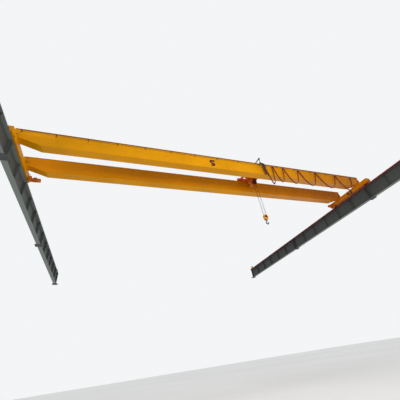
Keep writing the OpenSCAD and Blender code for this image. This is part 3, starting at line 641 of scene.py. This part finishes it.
def truck_pieces():
    bolts, caps, welds = pieces(
        "bridge", truck_bolts="wheel_steel", bearing_caps="crane_yellow", truck_welds="crane_yellow"
    )
    for x, inner in zip(RAILS, (1, -1)):
        for s in BOTH:
            face = x + s * TRUCK_HALF
            for z in (TRUCK_LOW + 0.01, TRUCK_TOP - 0.01):
                welds.bead((face, TRUCK_Y[0], z), (face, TRUCK_Y[1], z), 0.004)
            for y in WHEEL_Y:
                # The far inner end of each truck carries the drive
                if (s, y) != (inner, WHEEL_Y[1]):
                    hub = (x + s * 0.196, y, WHEEL_Z)
                    bolts.bolt_circle(hub, X, 0.067, 6, 0.008, 0.3, s)
                    caps.lathe(hub, X * s, [(0, 0.052), (0.01, 0.052), (0.014, 0.048), (0.016, 0.0)], 28)
        for y, s in zip(TRUCK_Y, BOTH):
            buffer = Vector((x, y, WHEEL_Z + 0.01))
            caps.ring(buffer, Y * s, 0.0555, 0.082, 0.0, 0.012)
            bolts.bolt_circle(buffer + Y * s * 0.012, Y, 0.07, 4, 0.007, 0.78, s)
            caps.ring(buffer, Y * s, 0.0555, 0.0585, 0.0, 0.05)
            bolts.bolts(both(x, 0.13), y, (TRUCK_LOW + 0.04, TRUCK_TOP - 0.04), Y * s, 0.009)
        for y, a, k in product((NEAR_Y, FAR_Y), BOTH, (0.02, 0.073, 0.126)):
            px, face = x + inner * k, y + a * HALF_BOX
            bolts.bolt((px, face + a * 0.085, TRUCK_TOP + 0.012), Z, 0.015)
            for z in (1.66, 1.75):
                bolts.bolt((px, face + a * 0.039, z), Y * a, 0.015)
                bolts.lathe((px, face, z), Y * a, [(0, 0.018), (0.027, 0.018)], 12)


def drive_pieces():
    """Ribs, fins and fastenings of the two travel drives."""
    body, bolts, cords = pieces(
        "bridge", travel_drive_details="drive_brown", travel_drive_bolts="wheel_steel",
        travel_drive_cables="buffer_rubber",
    )
    y, z, top = WHEEL_Y[1], WHEEL_Z - 0.115, WHEEL_Z + 0.02
    outline = [
        (y + GEARBOX_R * cos(a), middle + GEARBOX_R * sin(a))
        for first, middle in ((0, top), (pi, z)) for a in [first + pi * i / 12 for i in range(13)]
    ]
    route = (
        (0.405, 0.03, 0.1), (0.36, 0.03, 0.1), (0.3, 0.02, 0.2), (0.24, 0.0, 0.3), (0.2, -0.02, 0.352),
        (0.15, -0.1, 0.367), (0.12, -0.3, 0.367), (0.12, -0.43, 0.367),
    )
    for x, s in zip(RAILS, (1, -1)):
        def at(d, dy=0.0, dz=0.0):
            return Vector((x + s * d, y + dy, z + dz))
        ax = X * s
        body.prism(outline, yz, x + s * 0.25, x + s * 0.264)
        for v, w in outline[1:12:2]:
            bolts.bolt((x + s * 0.317, y + (v - y) * 0.8, top + (w - top) * 0.8), ax, 0.006)
        body.lathe(at(0.317, 0, 0.135), ax, [(0, 0.055), (0.008, 0.055), (0.012, 0.05)], 24)
        body.fins(at(0.35), ax, 0.1, 0.114, 0.02, 0.285, 30, Z)
        body.grille(at(0.767), ax, 0.105)
        body.ring(at(0.64), ax, 0.1095, 0.113, 0.0, 0.012)
        bolts.bolt_circle(at(0.347), X, 0.1025, 4, 0.006, 0.78, s)
        body.block(at(0.432, -0.065, 0.14), at(0.582, 0.065, 0.152), 0.003)
        bolts.bolts((x + s * 0.444, x + s * 0.57), both(y, 0.053), z + 0.152, Z, 0.004, False)
        bolts.gland(at(0.432, 0.03, 0.1), -ax, 0.012)
        cords.tube(smooth([at(*p) for p in route]), 0.008)


def switch_pieces():
    """Lever, roller and lid of the travel switch, and fastenings of the collector."""
    box, bolts, shoe, cable = pieces(
        "bridge", travel_switch_details="drive_brown", travel_switch_bolts="wheel_steel", collector_shoe="bar_red",
        collector_cable="buffer_rubber",
    )
    y, top = SWITCH_Y, TRUCK_TOP
    box.block((0.085, y - 0.041, top + 0.335), (0.255, y - 0.035, top + 0.4), 0.002)
    bolts.lathe((0.235, y + 0.035, top + 0.365), Y, [(0, 0.018), (0.02, 0.018), (0.024, 0.014)], 18)
    box.prism([(0.228, 1.885), (0.242, 1.885), (0.252, 2.02), (0.238, 2.02)], xz, y + 0.057, y + 0.063)
    bolts.lathe((0.245, y + 0.063, 2.01), Y, [(0, 0.016), (0.018, 0.016)], 20)
    bolts.bolts((0.095, 0.245), y - 0.041, (top + 0.345, top + 0.39), -Y, 0.004, False)
    bolts.bolts((0.072, 0.148), both(y, 0.031), top + 0.01, Z, 0.006)
    bolts.gland((0.08, y, top + 0.365), -X, 0.011)
    x, y = SPAN - TRUCK_HALF, COLLECTOR_Y
    bolts.bolts(x - 0.012, both(y, 0.04), (1.235, 1.36, 1.495), -X, 0.006)
    bolts.bolts(x - 0.06, (y + 0.21, y + 0.32), (1.275, 1.385), -X, 0.004, False)
    bolts.gland((x - 0.03, y + 0.265, 1.395), Z, 0.012)
    shoe.block((22.272, y - 0.06, 1.048), (22.308, y + 0.06, 1.06), 0.004)
    shoe.block((22.286, y - 0.05, 1.03), (22.294, y + 0.05, 1.049), 0.002)
    cable.tube(smooth([
        (x - 0.03, y + 0.265, 1.42), (x - 0.03, y + 0.265, 1.5), (x - 0.02, y + 0.26, 1.548),
        (x + 0.04, y + 0.25, 1.548), (x + 0.06, y + 0.2, 1.546), (x + 0.06, NEAR_Y + 0.42, 1.546),
    ]), 0.008)
    cable.tube(smooth([
        (x - 0.045, y + 0.2, 1.3), (x - 0.05, y + 0.12, 1.27), (x - 0.045, y + 0.07, 1.29),
        (x - 0.03, y + 0.034, 1.33),
    ]), 0.006)


def mark_number():
    """A plain painted figure 5 on the near girder."""
    [figure] = pieces("bridge", girder_number="mark_paint")
    x0, x1, z0, z1 = 9.95, 10.32, 1.37, 1.85
    w, h = x1 - x0, z1 - z0
    y = NEAR_Y - HALF_BOX

    def put(points):
        figure.prism([(x0 + u * w, z0 + v * h) for u, v in points], xz, y - 0.0006, y - 0.0002)

    # The stroke's width as a share of the figure's width and height, and the start of the bowl
    tw, th = 0.35, 0.35 * w / h
    left, neck = (0.08, 0.47), (0.08 + tw, 0.47 + th * 0.6)
    put([(0.08, 1 - th), (1.0, 1 - th), (1.0, 1.0), (0.08, 1.0)])
    put([left, neck, (0.08 + tw, 1 - th), (0.08, 1 - th)])
    turns = [radians(128 - i * (128 + 142) / 24) for i in range(25)]
    outer = [(0.5 + 0.5 * cos(a), 0.3 + 0.3 * sin(a)) for a in turns]
    inner = [(0.5 + (0.5 - tw) * cos(a), 0.3 + (0.3 - th) * sin(a)) for a in turns]
    for i in range(24):
        put([outer[i], outer[i + 1], inner[i + 1], inner[i]])
    put([left, outer[0], inner[0], neck])


# Festoon

# Lanes of cables along the track, half a cable's width and thickness, and each layer with its height on the saddle
LANES = (-0.03, -0.0128, 0.0128, 0.03)
BAND = (0.0079, 0.004)
LAYERS = tuple((layer, 0.0045 + 0.009 * layer) for layer in range(3))
# Places along the free part of a loop, closer together near its ends
TURNS = [0.5 - 0.5 * cos(pi * i / 30) for i in range(1, 30)]


def over_saddle(x, z, side, lift):
    """From the top of a saddle down one side of it."""
    r = SADDLE_R + lift
    turns = [radians(90 - 20 * i) for i in range(5)]
    return [(x + side * r * cos(a), z - SADDLE_R + r * sin(a)) for a in turns]


def hanging(xa, za, xb, zb, sag, lift, places, sway=0.0):
    """The free part of a loop, from beside one saddle to beside the next."""
    r = SADDLE_R + lift
    pts = []
    for t in places:
        drop = 4 * sag * t * (1 - t) + sway * sin(tau * t)
        z = za - SADDLE_R + (zb - za) * t - drop + lift * (1 - abs(2 * t - 1))
        pts.append((xa + r + (xb - xa - 2 * r) * t, z))
    return pts


def lay(piece, lane, points, r=1):
    piece.tube([(x, FESTOON_Y + lane, z) for x, z in points], r, 8, BAND)


def track_pieces():
    [bolts] = pieces("bridge", track_bolts="track_brown")
    x0, x1 = TRACK_X
    n = round((x1 - x0) / 1.5)
    for x in [x0 + 0.04 + i * (x1 - x0 - 0.08) / n for i in range(n + 1)]:
        bolts.bolts(x, 0.244, (1.93, 2.04), -Y, 0.007)
        bolts.bolt((x, 0.165, TRACK_Z + 0.0403), Z, 0.006)
    for x, s in ((x0, 1), (x1, -1)):
        bolts.block((x, 0.105, TRACK_Z - 0.006), (x + s * 0.012, 0.145, TRACK_Z + 0.036), 0.002)
    bolts.block((CLAMP_X - 0.05, 0.088, FESTOON_Z + 0.006), (CLAMP_X + 0.05, 0.162, FESTOON_Z + 0.012), 0.002)
    bolts.bolts(both(CLAMP_X, 0.035), 0.2, FESTOON_Z + 0.006, Z, 0.006)
    bolts.bolts(both(CLAMP_X, 0.035), 0.242, FESTOON_Z - 0.05, -Y, 0.007)


def festoon_pieces():
    stops = [TOW_END] + [(x, FESTOON_Z) for x in (*CARRIERS, CLAMP_X)]
    bodies = ["tow_carrier", *("festoon_carrier_%d" % i for i in range(1, 6)), "bridge"]
    (xa, za), (xb, zb) = stops[:2]
    piece = Piece("festoon_loop_1", "cable_sheath", *bodies[:2])
    for (li, lane), (layer, lift) in product(enumerate(LANES), LAYERS):
        sag = FIRST_SAG - 0.01 * layer - 0.006 * ((li * 7 + layer * 5) % 4)
        path = over_saddle(xa, za, 1, lift) + hanging(xa, za, xb, zb, sag, lift, TURNS)
        lay(piece, lane, path + over_saddle(xb, zb, -1, lift)[::-1])
    piece.done((xa + 0.03, FESTOON_Y, za), (xb - 0.03, FESTOON_Y, zb), ("festoon_cable",))

    # Each longer loop is two halves that lap at its lowest point
    for k in range(1, 6):
        (xa, za), (xb, zb) = stops[k:k + 2]
        name = "festoon_loop_%d" % (k + 1)
        left, right = (Piece(name + side, "cable_sheath", *bodies[k:k + 2]) for side in ("_left", "_right"))
        lap = [0.5 - d / (xb - xa - 0.07) for d in (0.03, 0.015, 0.001)]
        for (li, lane), (layer, lift) in product(enumerate(LANES), LAYERS):
            sway = 0.007 * ((li * 3 + k * 2) % 4 - 1.5)
            ends = (xa, za, xb, zb, SAG, lift)
            lay(left, lane, over_saddle(xa, za, 1, lift) + hanging(*ends, TURNS[:15], sway))
            rise = hanging(*ends, lap + TURNS[14:], sway) + over_saddle(xb, zb, -1, lift)[::-1]
            lay(right, lane, rise, [0.85] * 3 + [1] * (len(rise) - 3))
        # fold leans the reach from along the span at 0 to straight down at 2
        fold = 1.45
        along, fall = (1 - fold / 2) / (xb - xa - 0.06), fold / 4 / (SAG - 0.0135)
        reach = Vector((along, 0, -fall)) / (along ** 2 + fall ** 2)
        start = Vector((xa + 0.03, FESTOON_Y, za - SADDLE_R))
        left.done(start, start + reach)
        reach.z = -reach.z
        end = Vector((xb - 0.03, FESTOON_Y, zb - SADDLE_R))
        right.done(end - reach, end)

    for body, (x, z) in zip(bodies[:6], stops):
        tow = body == "tow_carrier"
        [p] = pieces(body, **{body + "_details": "dark_arm" if tow else "track_zinc"})
        for s in BOTH:
            y0, y1 = both(FESTOON_Y + s * 0.021, 0.019)
            p.block((x - 0.012, y0, z + 0.028), (x + 0.012, y1, z + 0.033), 0.0015)
            p.bolt((x, FESTOON_Y + s * 0.0425, z + 0.01), Y * s, 0.005)
            p.lathe((x, FESTOON_Y + s * 0.04, z - SADDLE_R), Y * s, [(0, 0.028), (0.003, 0.028)], 24)
            if not tow:
                y0, y1 = both(FESTOON_Y, 0.012)
                p.block((x + s * 0.046, y0, z + 0.006), (x + s * 0.056, y1, z + 0.03), 0.003)


# Trolley

def trolley_pieces():
    plates, pads, bolts = pieces(
        "trolley", trolley_frame_details="hoist_red", trolley_buffers="buffer_rubber", trolley_bolts="wheel_steel"
    )
    for y, m in ((NEAR_Y, -1), (FAR_Y, 1)):
        side = y - m * 0.17
        for face, z in product(both(side, 0.05), (SIDE_LOW + 0.008, SIDE_TOP - 0.008)):
            plates.bead((12.99, face, z), (14.41, face, z), 0.004, 0.3)
        for s in BOTH:
            hub = Vector((TROLLEY_X + s * 0.56, y + m * 0.055, TROLLEY_WHEEL_Z))
            plates.lathe(hub, Y * m, [(0, 0.042), (0.01, 0.042), (0.014, 0.036), (0.016, 0)], 24)
            bolts.bolt_circle(hub, Y, 0.052, 4, 0.005, 0.78, m)
            bolts.lathe((hub.x, y - m * 0.228, TROLLEY_WHEEL_Z), Y * -m, [(0, 0.02), (0.004, 0.018)], 18)
            bump = (TROLLEY_X + s * 0.672, y, 2.243)
            pads.lathe(bump, X * s, [(0, 0.03), (0.008, 0.034), (0.044, 0.034), (0.056, 0.026), (0.06, 0)], 22)
            plates.ring(bump, X * s, 0.0345, 0.046, 0.0, 0.008)
            x = TROLLEY_X + s * 0.71
            plates.block((x, side - 0.046, SIDE_LOW + 0.006), (x + s * 0.006, side + 0.046, SIDE_TOP - 0.006), 0.002)
    for x, half in ((13.24, 0.02), (14.355, 0.035)):
        bolts.bolts(both(x, half), (0.7, 2.18), SIDE_TOP, Z, 0.01)
    bolts.bolts((13.34, 14.25), (1.08, 1.8), 2.317, Z, 0.01)
    bolts.bolts((13.02, 13.05), 2.06, SIDE_LOW + 0.07, Z, 0.008)


def drum_pieces():
    """Rope windings on the drum and fastenings of its flanges and bearing."""
    rope, bolts = pieces("trolley", drum_windings="rope_wire", drum_bolts="wheel_steel")
    r = DRUM_R + ROPE_R
    for y0, s, turns in ((FALL_Y[0], -1, 11), (FALL_Y[1], 1, 4.5)):
        turned = [i / 26 for i in range(int(turns * 26) + 1)]
        path = [(DRUM.x + r * cos(tau * t), y0 + s * 0.0158 * t, DRUM.z + r * sin(tau * t)) for t in turned]
        rope.tube(path, ROPE_R, 7)
    bolts.bolt_circle(DRUM + Y * 1.19, Y, 0.115, 8, 0.009, 0.0, -1)
    bolts.bolts(both(DRUM.x, 0.1), BEARING_Y, (DRUM.z + 0.13, DRUM.z + 0.05), Y, 0.009)
    bolts.ring(DRUM + Y * BEARING_Y, Y, 0.0455, 0.072, 0.0, 0.012)


def gear_outline():
    """The gearbox's outline round the drum's shaft and the motor's."""
    d, m = DRUM.x, MOTOR.x
    return [
        (d - 0.205, 2.117), (d - 0.205, 2.267), (d - 0.11, GEAR_TOP), (d + 0.15, GEAR_TOP), (m + 0.09, 2.367),
        (m + 0.15, 2.307), (m + 0.15, 2.087), (m + 0.07, 2.002), (d + 0.16, 1.932), (d - 0.06, 1.932),
    ]


def moved_out(outline, middle, t):
    """An outline whose points lie further from its middle by t, along both axes."""
    cx, cz = middle
    return [(x + (t if x > cx else -t), z + (t if z > cz else -t)) for x, z in outline]


def hoist_pieces():
    """Fins, lids and fastenings of the hoist's motor and gearbox, and the trolley's cables."""
    body, bolts, cords = pieces(
        "trolley", hoist_details="hoist_red", hoist_bolts="wheel_steel", trolley_cables="buffer_rubber"
    )
    body.fins(MOTOR, Y, 0.102, 0.118, 1.255, 1.565, 32, Z)
    body.grille(MOTOR + Y * 1.13, -Y, 0.112)
    body.ring(MOTOR + Y * 1.232, Y, 0.1175, 0.121, 0.0, 0.012)
    bolts.bolt_circle(MOTOR + Y * 1.5787, Y, 0.119, 8, 0.007, 0.2, -1)
    body.block((MOTOR.x - 0.086, 1.314, 2.387), (MOTOR.x + 0.086, 1.486, 2.4), 0.004)
    bolts.bolts(both(MOTOR.x, 0.072), (1.328, 1.472), 2.4, Z, 0.005, False)
    for y in (1.36, 1.44):
        bolts.gland((MOTOR.x - 0.08, y, 2.34), -X, 0.013)

    outline = gear_outline()
    cx, cz = GEAR_MID
    cover = GEAR_Y - 0.008
    for (xa, za), (xb, zb) in zip(outline, outline[1:] + outline[:1]):
        count = max(1, round(hypot(xb - xa, zb - za) / 0.11))
        for t in [(i + 0.5) / count for i in range(count)]:
            dx, dz = xa + (xb - xa) * t - cx, za + (zb - za) * t - cz
            inward = 1 - 0.022 / hypot(dx, dz)
            bolts.bolt((cx + dx * inward, cover, cz + dz * inward), -Y, 0.008)
    middle = [sum(v) / len(outline) for v in zip(*outline)]
    body.prism(moved_out(outline, middle, -0.045), xz, cover, GEAR_Y - 0.0002)
    body.prism(moved_out(outline, GEAR_MID, 0.012), xz, 1.676, 1.692)
    body.lathe((13.79, cover, cz), -Y, [(0, 0.075), (0.012, 0.075), (0.018, 0.066)], 30)
    bolts.bolt_circle((13.79, cover - 0.012, cz), Y, 0.062, 6, 0.006, 0.0, -1)
    lid = GEAR_TOP + 0.014
    body.block((13.41, 1.635, GEAR_TOP), (13.6, 1.735, lid), 0.003)
    bolts.bolts((13.43, 13.58), (1.652, 1.718), lid, Z, 0.006)
    bolts.lathe((13.505, 1.685, lid), Z, [(0, 0.014), (0.012, 0.014), (0.014, 0.02), (0.03, 0.02), (0.036, 0.012)], 16)

    for y, d in ((1.36, 0.0), (1.44, 0.02)):
        x = 13.5 + d
        cords.tube(smooth([
            (MOTOR.x - 0.108, y, 2.34), (MOTOR.x - 0.16, y - 0.01, 2.36), (13.9, 1.1 + d, 2.335),
            (13.82, 1.06 + d, 2.327), (13.62, 0.95, 2.33), (x + 0.01, 0.7, 2.388), (x, 0.6, 2.388), (x, 0.52, 2.376),
            (x, 0.3, 2.376), (x, 0.06, 2.377), (x, 0.02, 2.387), (x, -0.028, 2.386), (x, -0.04, 2.36),
            (x, -0.03, 2.28), (x, 0.008, 2.22), (x, 0.01, 2.05), (x + 0.01, 0.011, 1.99), (x + 0.06, 0.011, 1.955),
            (13.7 + d, 0.011, 1.93),
        ]), 0.009)
    cords.tube(smooth([
        (13.73, 2.01, 1.99), (13.71, 2.01, 2.06), (13.7, 1.98, 2.2), (13.68, 1.86, 2.3), (13.67, 1.8, 2.325),
        (13.67, 1.2, 2.405), (13.67, 1.08, 2.327), (13.6, 0.95, 2.33), (13.54, 0.74, 2.388), (13.538, 0.6, 2.386),
        (13.539, 0.5, 2.36), (13.539, 0.06, 2.36),
    ]), 0.008)


def trolley_drive_pieces():
    body, bolts = pieces("trolley", trolley_drive_details="motor_orange", trolley_drive_bolts="wheel_steel")
    body.fins(DRIVE, Z, 0.086, 0.099, 1.7, 2.13, 26, -X)
    cover = [(1.566, 0.05), (1.57, 0.078), (1.584, 0.092), (1.6, 0.096), (1.7, 0.096), (1.704, 0.088)]
    body.lathe(DRIVE, Z, cover, 36)
    body.grille(DRIVE + Z * 1.566, -Z, 0.074)
    body.ring(DRIVE, Z, 0.088, 0.112, 2.15, 2.166)
    bolts.bolt_circle(DRIVE + Z * 2.15, Z, 0.1, 6, 0.006, 0.3, -1)
    body.block((13.7, 1.955, 1.86), (13.764, 2.065, 1.99), 0.005)
    body.block((13.694, 1.951, 1.856), (13.701, 2.069, 1.994), 0.002)
    bolts.bolts(13.694, (1.963, 2.057), (1.868, 1.982), -X, 0.004, False)
    bolts.gland((13.73, 2.01, 1.99), Z, 0.011)
    bolts.bolts(run(13.79, 14.27, 0.12)[2:], 2.1097, (SIDE_LOW + 0.016, SIDE_LOW + 0.124), -Y, 0.007)
    body.lathe((14.26, 2.1097, TROLLEY_WHEEL_Z), -Y, [(0, 0.04), (0.01, 0.04), (0.016, 0.032)], 24)
    bolts.bolts(both(DRIVE.x, 0.07), (1.945, 2.075, 2.15), SIDE_LOW + 0.14, Z, 0.008)


def anchor_pieces():
    """Sockets of the fixed rope ends and fastenings of the hanger plates."""
    [p] = pieces("trolley", rope_sockets="wheel_steel")
    x = FALLS[1]
    for y in FALL_Y:
        p.lathe((x, y, ANCHOR_Z - 0.05), -Z, [(0, 0.013), (0.01, 0.016), (0.075, 0.012), (0.085, 0.009)], 18)
        p.ring((x, y, ANCHOR_Z - 0.135), Z, 0.0075, 0.012, 0.0, 0.012, 16)
    for s in BOTH:
        p.lathe((x, BRIDGE_Y + s * 0.076, ANCHOR_Z), Y * s, [(0, 0.026), (0.004, 0.026)], 20)
        p.bolt((x, BRIDGE_Y + s * 0.08, ANCHOR_Z), Y * s, 0.018, False)
        plate = BRIDGE_Y + s * 0.068
        p.bolts(13.63, plate, (1.44, 1.6), Y * s, 0.009)
        p.bolt((13.8, plate, 1.44), Y * s, 0.009)
        p.bolts((13.81, 13.86), plate, (1.96, 2.12), Y * s, 0.009)
    for z in (1.44, 1.6):
        p.lathe((13.63, BRIDGE_Y - 0.056, z), Y, [(0, 0.014), (0.112, 0.014)], 14)


def tow_pieces():
    [arm] = pieces("trolley", tow_arm_details="wheel_steel")
    for y in (0.1, 0.25, 0.4, 0.54):
        arm.block((ARM_X - 0.021, y - 0.012, 2.366), (ARM_X + 0.021, y + 0.012, 2.3685), 0.001)
    arm.bolts(both(ARM_X, 0.026), -0.03, (2.312, 2.362), -Y, 0.006)
    arm.bolts((13.48, 13.56), 0.02, 1.985, -Y, 0.007)
    arm.bolts(13.79, 0.02, (1.93, 1.89), -Y, 0.007)
    arm.bolts(ARM_X, (0.52, 0.56), 2.367, Z, 0.007)
    clamp, bolts, cables = pieces(
        "tow_carrier", tow_cable_clamp="bar_red", tow_plate_bolts="wheel_steel", tow_plate_cables="cable_sheath"
    )
    clamp.block((13.745, 0.04, 1.43), (13.865, 0.059, 1.57), 0.004)
    for x, z in ((13.67, 1.9), (13.87, 1.9), (13.75, 1.13), (13.9, 1.16)):
        bolts.bolt((x, 0.059, z), -Y, 0.007)
    bolts.bolts((13.757, 13.853), 0.04, (1.445, 1.555), -Y, 0.005)
    for x in (13.77, 13.792, 13.814):
        cables.tube(smooth([
            (x, 0.05, 1.9), (x + 0.004, 0.05, 1.75), (x + 0.008, 0.051, 1.6), (x + 0.012, 0.051, 1.42),
            (x + 0.03, 0.05, 1.28), (x + 0.05, 0.05, 1.18), (x + 0.06, 0.05, 1.12),
        ]), 0.008)


# Hook block, hook and ropes

def block_pieces():
    hub = Vector((HOOK_X, BRIDGE_Y, BLOCK_Z))
    guards, bolts, covers = pieces(
        "hook_block", block_guards="block_yellow", block_bolts="wheel_steel", block_hub_covers="anchor_maroon"
    )
    for s in BOTH:
        line = [(s * 0.1115, 0.118), (s * 0.149, 0.002), (s * 0.1085, -0.175)]
        for (xa, za), (xb, zb) in zip(line, line[1:]):
            quad = ((xa, za), (xb, zb), (xb - s * 0.005, zb), (xa - s * 0.005, za))
            guards.prism([(HOOK_X + x, BLOCK_Z + z) for x, z in quad], xz, *both(BRIDGE_Y, 0.0568))
        for d, z in ((0.075, 0.105), (0.125, -0.01), (0.075, -0.18)):
            bolts.bolts(both(HOOK_X, d), BRIDGE_Y + s * 0.067, BLOCK_Z + z, Y * s, 0.01)
        bolts.lathe(hub + Y * s * 0.082, Y * s, [(0, 0.034), (0.004, 0.03), (0.006, 0.012)], 26)
        bolts.lathe((HOOK_X, BRIDGE_Y + s * 0.0805, HEAD_Z), Y * s, [(0, 0.026), (0.004, 0.026), (0.006, 0.022)], 22)
        bolts.bolt_circle(hub + Y * s * 0.077, Y, 0.078, 6, 0.006, 0.3, s)
        covers.ring(hub + Y * s * 0.067, Y * s, 0.0385, 0.094, 0.0, 0.01, 32)


def hook_piece():
    """The forged hook, swept round its bowl with a section that is thickest below."""
    # Each section: x and z from the middle of the bowl, half the width across the bend, half the width along Y
    line = [
        (0, 0.2, 0.027, 0.027), (0, 0.15, 0.027, 0.027), (-0.004, 0.115, 0.028, 0.028), (-0.022, 0.088, 0.029, 0.029),
        (-0.05, 0.06, 0.03, 0.03), (-0.07, 0.03, 0.03, 0.03),
    ]
    for i in range(19):
        a = radians(-180 + 192 * i / 18)
        k = sin(pi * i / 15) ** 0.8 if i < 15 else 0.0
        line.append((0.076 * cos(a), 0.076 * sin(a), 0.029 + 0.006 * k, 0.027 + 0.003 * k))
    line += [
        (0.079, 0.034, 0.022, 0.023), (0.083, 0.052, 0.016, 0.017), (0.086, 0.062, 0.01, 0.011),
        (0.087, 0.066, 0.003, 0.003),
    ]
    neck = Vector((HOOK_X, BRIDGE_Y, HEAD_Z - 0.03))
    path = [neck + Vector((x, 0, z - 0.2)) for x, z, _, _ in line]
    turns = [tau * k / 20 for k in range(20)]
    rings = []
    for i, (q, (_, _, wide, deep)) in enumerate(zip(path, line)):
        w = heading(path, i).cross(Y).normalized()
        rings.append([q + w * wide * cos(a) + Y * deep * sin(a) for a in turns])
    p = Piece("forged_hook", "hook_black", "hook")
    p.skin(rings)
    p.lathe(neck - Z * 0.0003, -Z, [(0, 0.028), (0.01, 0.03), (0.022, 0.027)], 28)
    p.lathe(neck, Z, [(-0.001, 0.0205), (0.062, 0.0205), (0.062, 0.021), (0.076, 0.021), (0.079, 0.018)], 28)
    p.lathe(neck + Z * 0.0603, Z, [(0, 0.033), (0.002, 0.034), (0.019, 0.034), (0.022, 0.031)], 6)
    p.done(stands_for=("lifting_hook",))


def rope_pieces():
    """Four falls of stranded rope."""
    p = Piece("wire_ropes", "rope_wire", "trolley", "hook_block")
    for (x, top), y in product(((FALLS[0], DRUM.z), (FALLS[1], ANCHOR_Z - 0.135)), FALL_Y):
        count = int((top - BLOCK_Z) / 0.019)
        for strand in range(6):
            heights = [top - (top - BLOCK_Z) * i / count for i in range(count + 1)]
            turned = [(z, tau * (z / 0.115 + strand / 6)) for z in heights]
            p.tube([(x + 0.0046 * cos(a), y + 0.0046 * sin(a), z) for z, a in turned], 0.0025, 5)
    p.done((HOOK_X, BRIDGE_Y, 1.3), (HOOK_X, BRIDGE_Y, BLOCK_Z + 0.02), ("hoist_ropes",))


# Stage

def make_floor():
    """A pale floor far below the crane."""
    mesh = bpy.data.meshes.new("floor")
    r = 160.0
    mesh.from_pydata([(-r, -r, 0), (r, -r, 0), (r, r, 0), (-r, r, 0)], [], [(0, 1, 2, 3)])
    floor = link_object("floor", mesh)
    floor.location = (SPAN / 2, 4.5, -10.0)
    n = material("floor")
    tone = n.ramp(n.noise(0.05, 2.0), (0.4, (0.8, 0.8, 0.79)), (0.6, (0.84, 0.84, 0.83)))
    n.feed(n.bsdf.inputs["Base Color"], tone)
    n.bsdf.inputs["Roughness"].default_value = 0.7
    # The floor is clear from below, so that it doesn't hide the crane in low views
    side = n.node("ShaderNodeMixShader", Fac=n.node("ShaderNodeNewGeometry").outputs["Backfacing"])
    n.feed(side.inputs[1], n.bsdf.outputs[0])
    n.feed(side.inputs[2], n.node("ShaderNodeBsdfTransparent").outputs[0])
    n.feed(n.tree.nodes["Material Output"].inputs["Surface"], side.outputs[0])
    mesh.materials.append(M["floor"])


def make_world():
    """A pale room that gives a little light and is seen and reflected as nearly white."""
    world = bpy.data.worlds.new("world")
    bpy.context.scene.world = world
    world.use_nodes = True
    n = Nodes(world.node_tree)
    n.tree.nodes.clear()
    rays = n.node("ShaderNodeLightPath").outputs
    seen = rays["Is Camera Ray"]
    for name in ("Is Glossy Ray", "Is Transmission Ray"):
        seen = n.math("MAXIMUM", seen, rays[name])
    mix = n.node("ShaderNodeMixShader", Fac=seen)
    for i, colour, strength in ((1, (0.95, 0.97, 1.0), 0.25), (2, (0.9, 0.91, 0.92), 1.0)):
        n.feed(mix.inputs[i], n.node("ShaderNodeBackground", Color=colour, Strength=strength).outputs[0])
    n.node("ShaderNodeOutputWorld", Surface=mix.outputs[0])


def make_lights():
    """Soft light from the windows and the roof, and a small lamp above the left end."""
    def lamp(name, place, at, size, power):
        d = bpy.data.lights.new(name, "AREA")
        d.shape = "RECTANGLE"
        d.size, d.size_y = size
        d.energy = power
        d.color = (1.0, 0.98, 0.95)
        o = link_object(name, d)
        o.location = place
        o.rotation_euler = (Vector(at) - Vector(place)).to_track_quat("-Z", "Y").to_euler()
        o.visible_camera = False
        return o

    lamp("window_light", (10.3, -11.5, 0.0), (10.6, 1.4, 1.2), (10.0, 6.0), 1020.0)
    end = lamp("end_light", (0.9, 0.2, 3.3), (1.1, 2.2, 1.7), (1.5, 1.5), 27.0)
    end.visible_glossy = False
    sky = bpy.data.lights.new("sky_light", "SUN")
    sky.energy, sky.angle = 1.6, 1.3
    link_object("sky_light", sky).location = (11.0, 4.0, 20.0)


bpy.context.scene.view_settings.view_transform = "Standard"
make_camera()
make_materials()
dress_nodes()
for add_pieces in (
    runway_pieces, girder_pieces, truck_pieces, drive_pieces, switch_pieces, mark_number, track_pieces,
    festoon_pieces, trolley_pieces, drum_pieces, hoist_pieces, trolley_drive_pieces, anchor_pieces, tow_pieces,
    block_pieces, hook_piece, rope_pieces,
):
    add_pieces()
    while WAITING:
        WAITING.pop(0).done()
make_floor()
make_world()
make_lights()
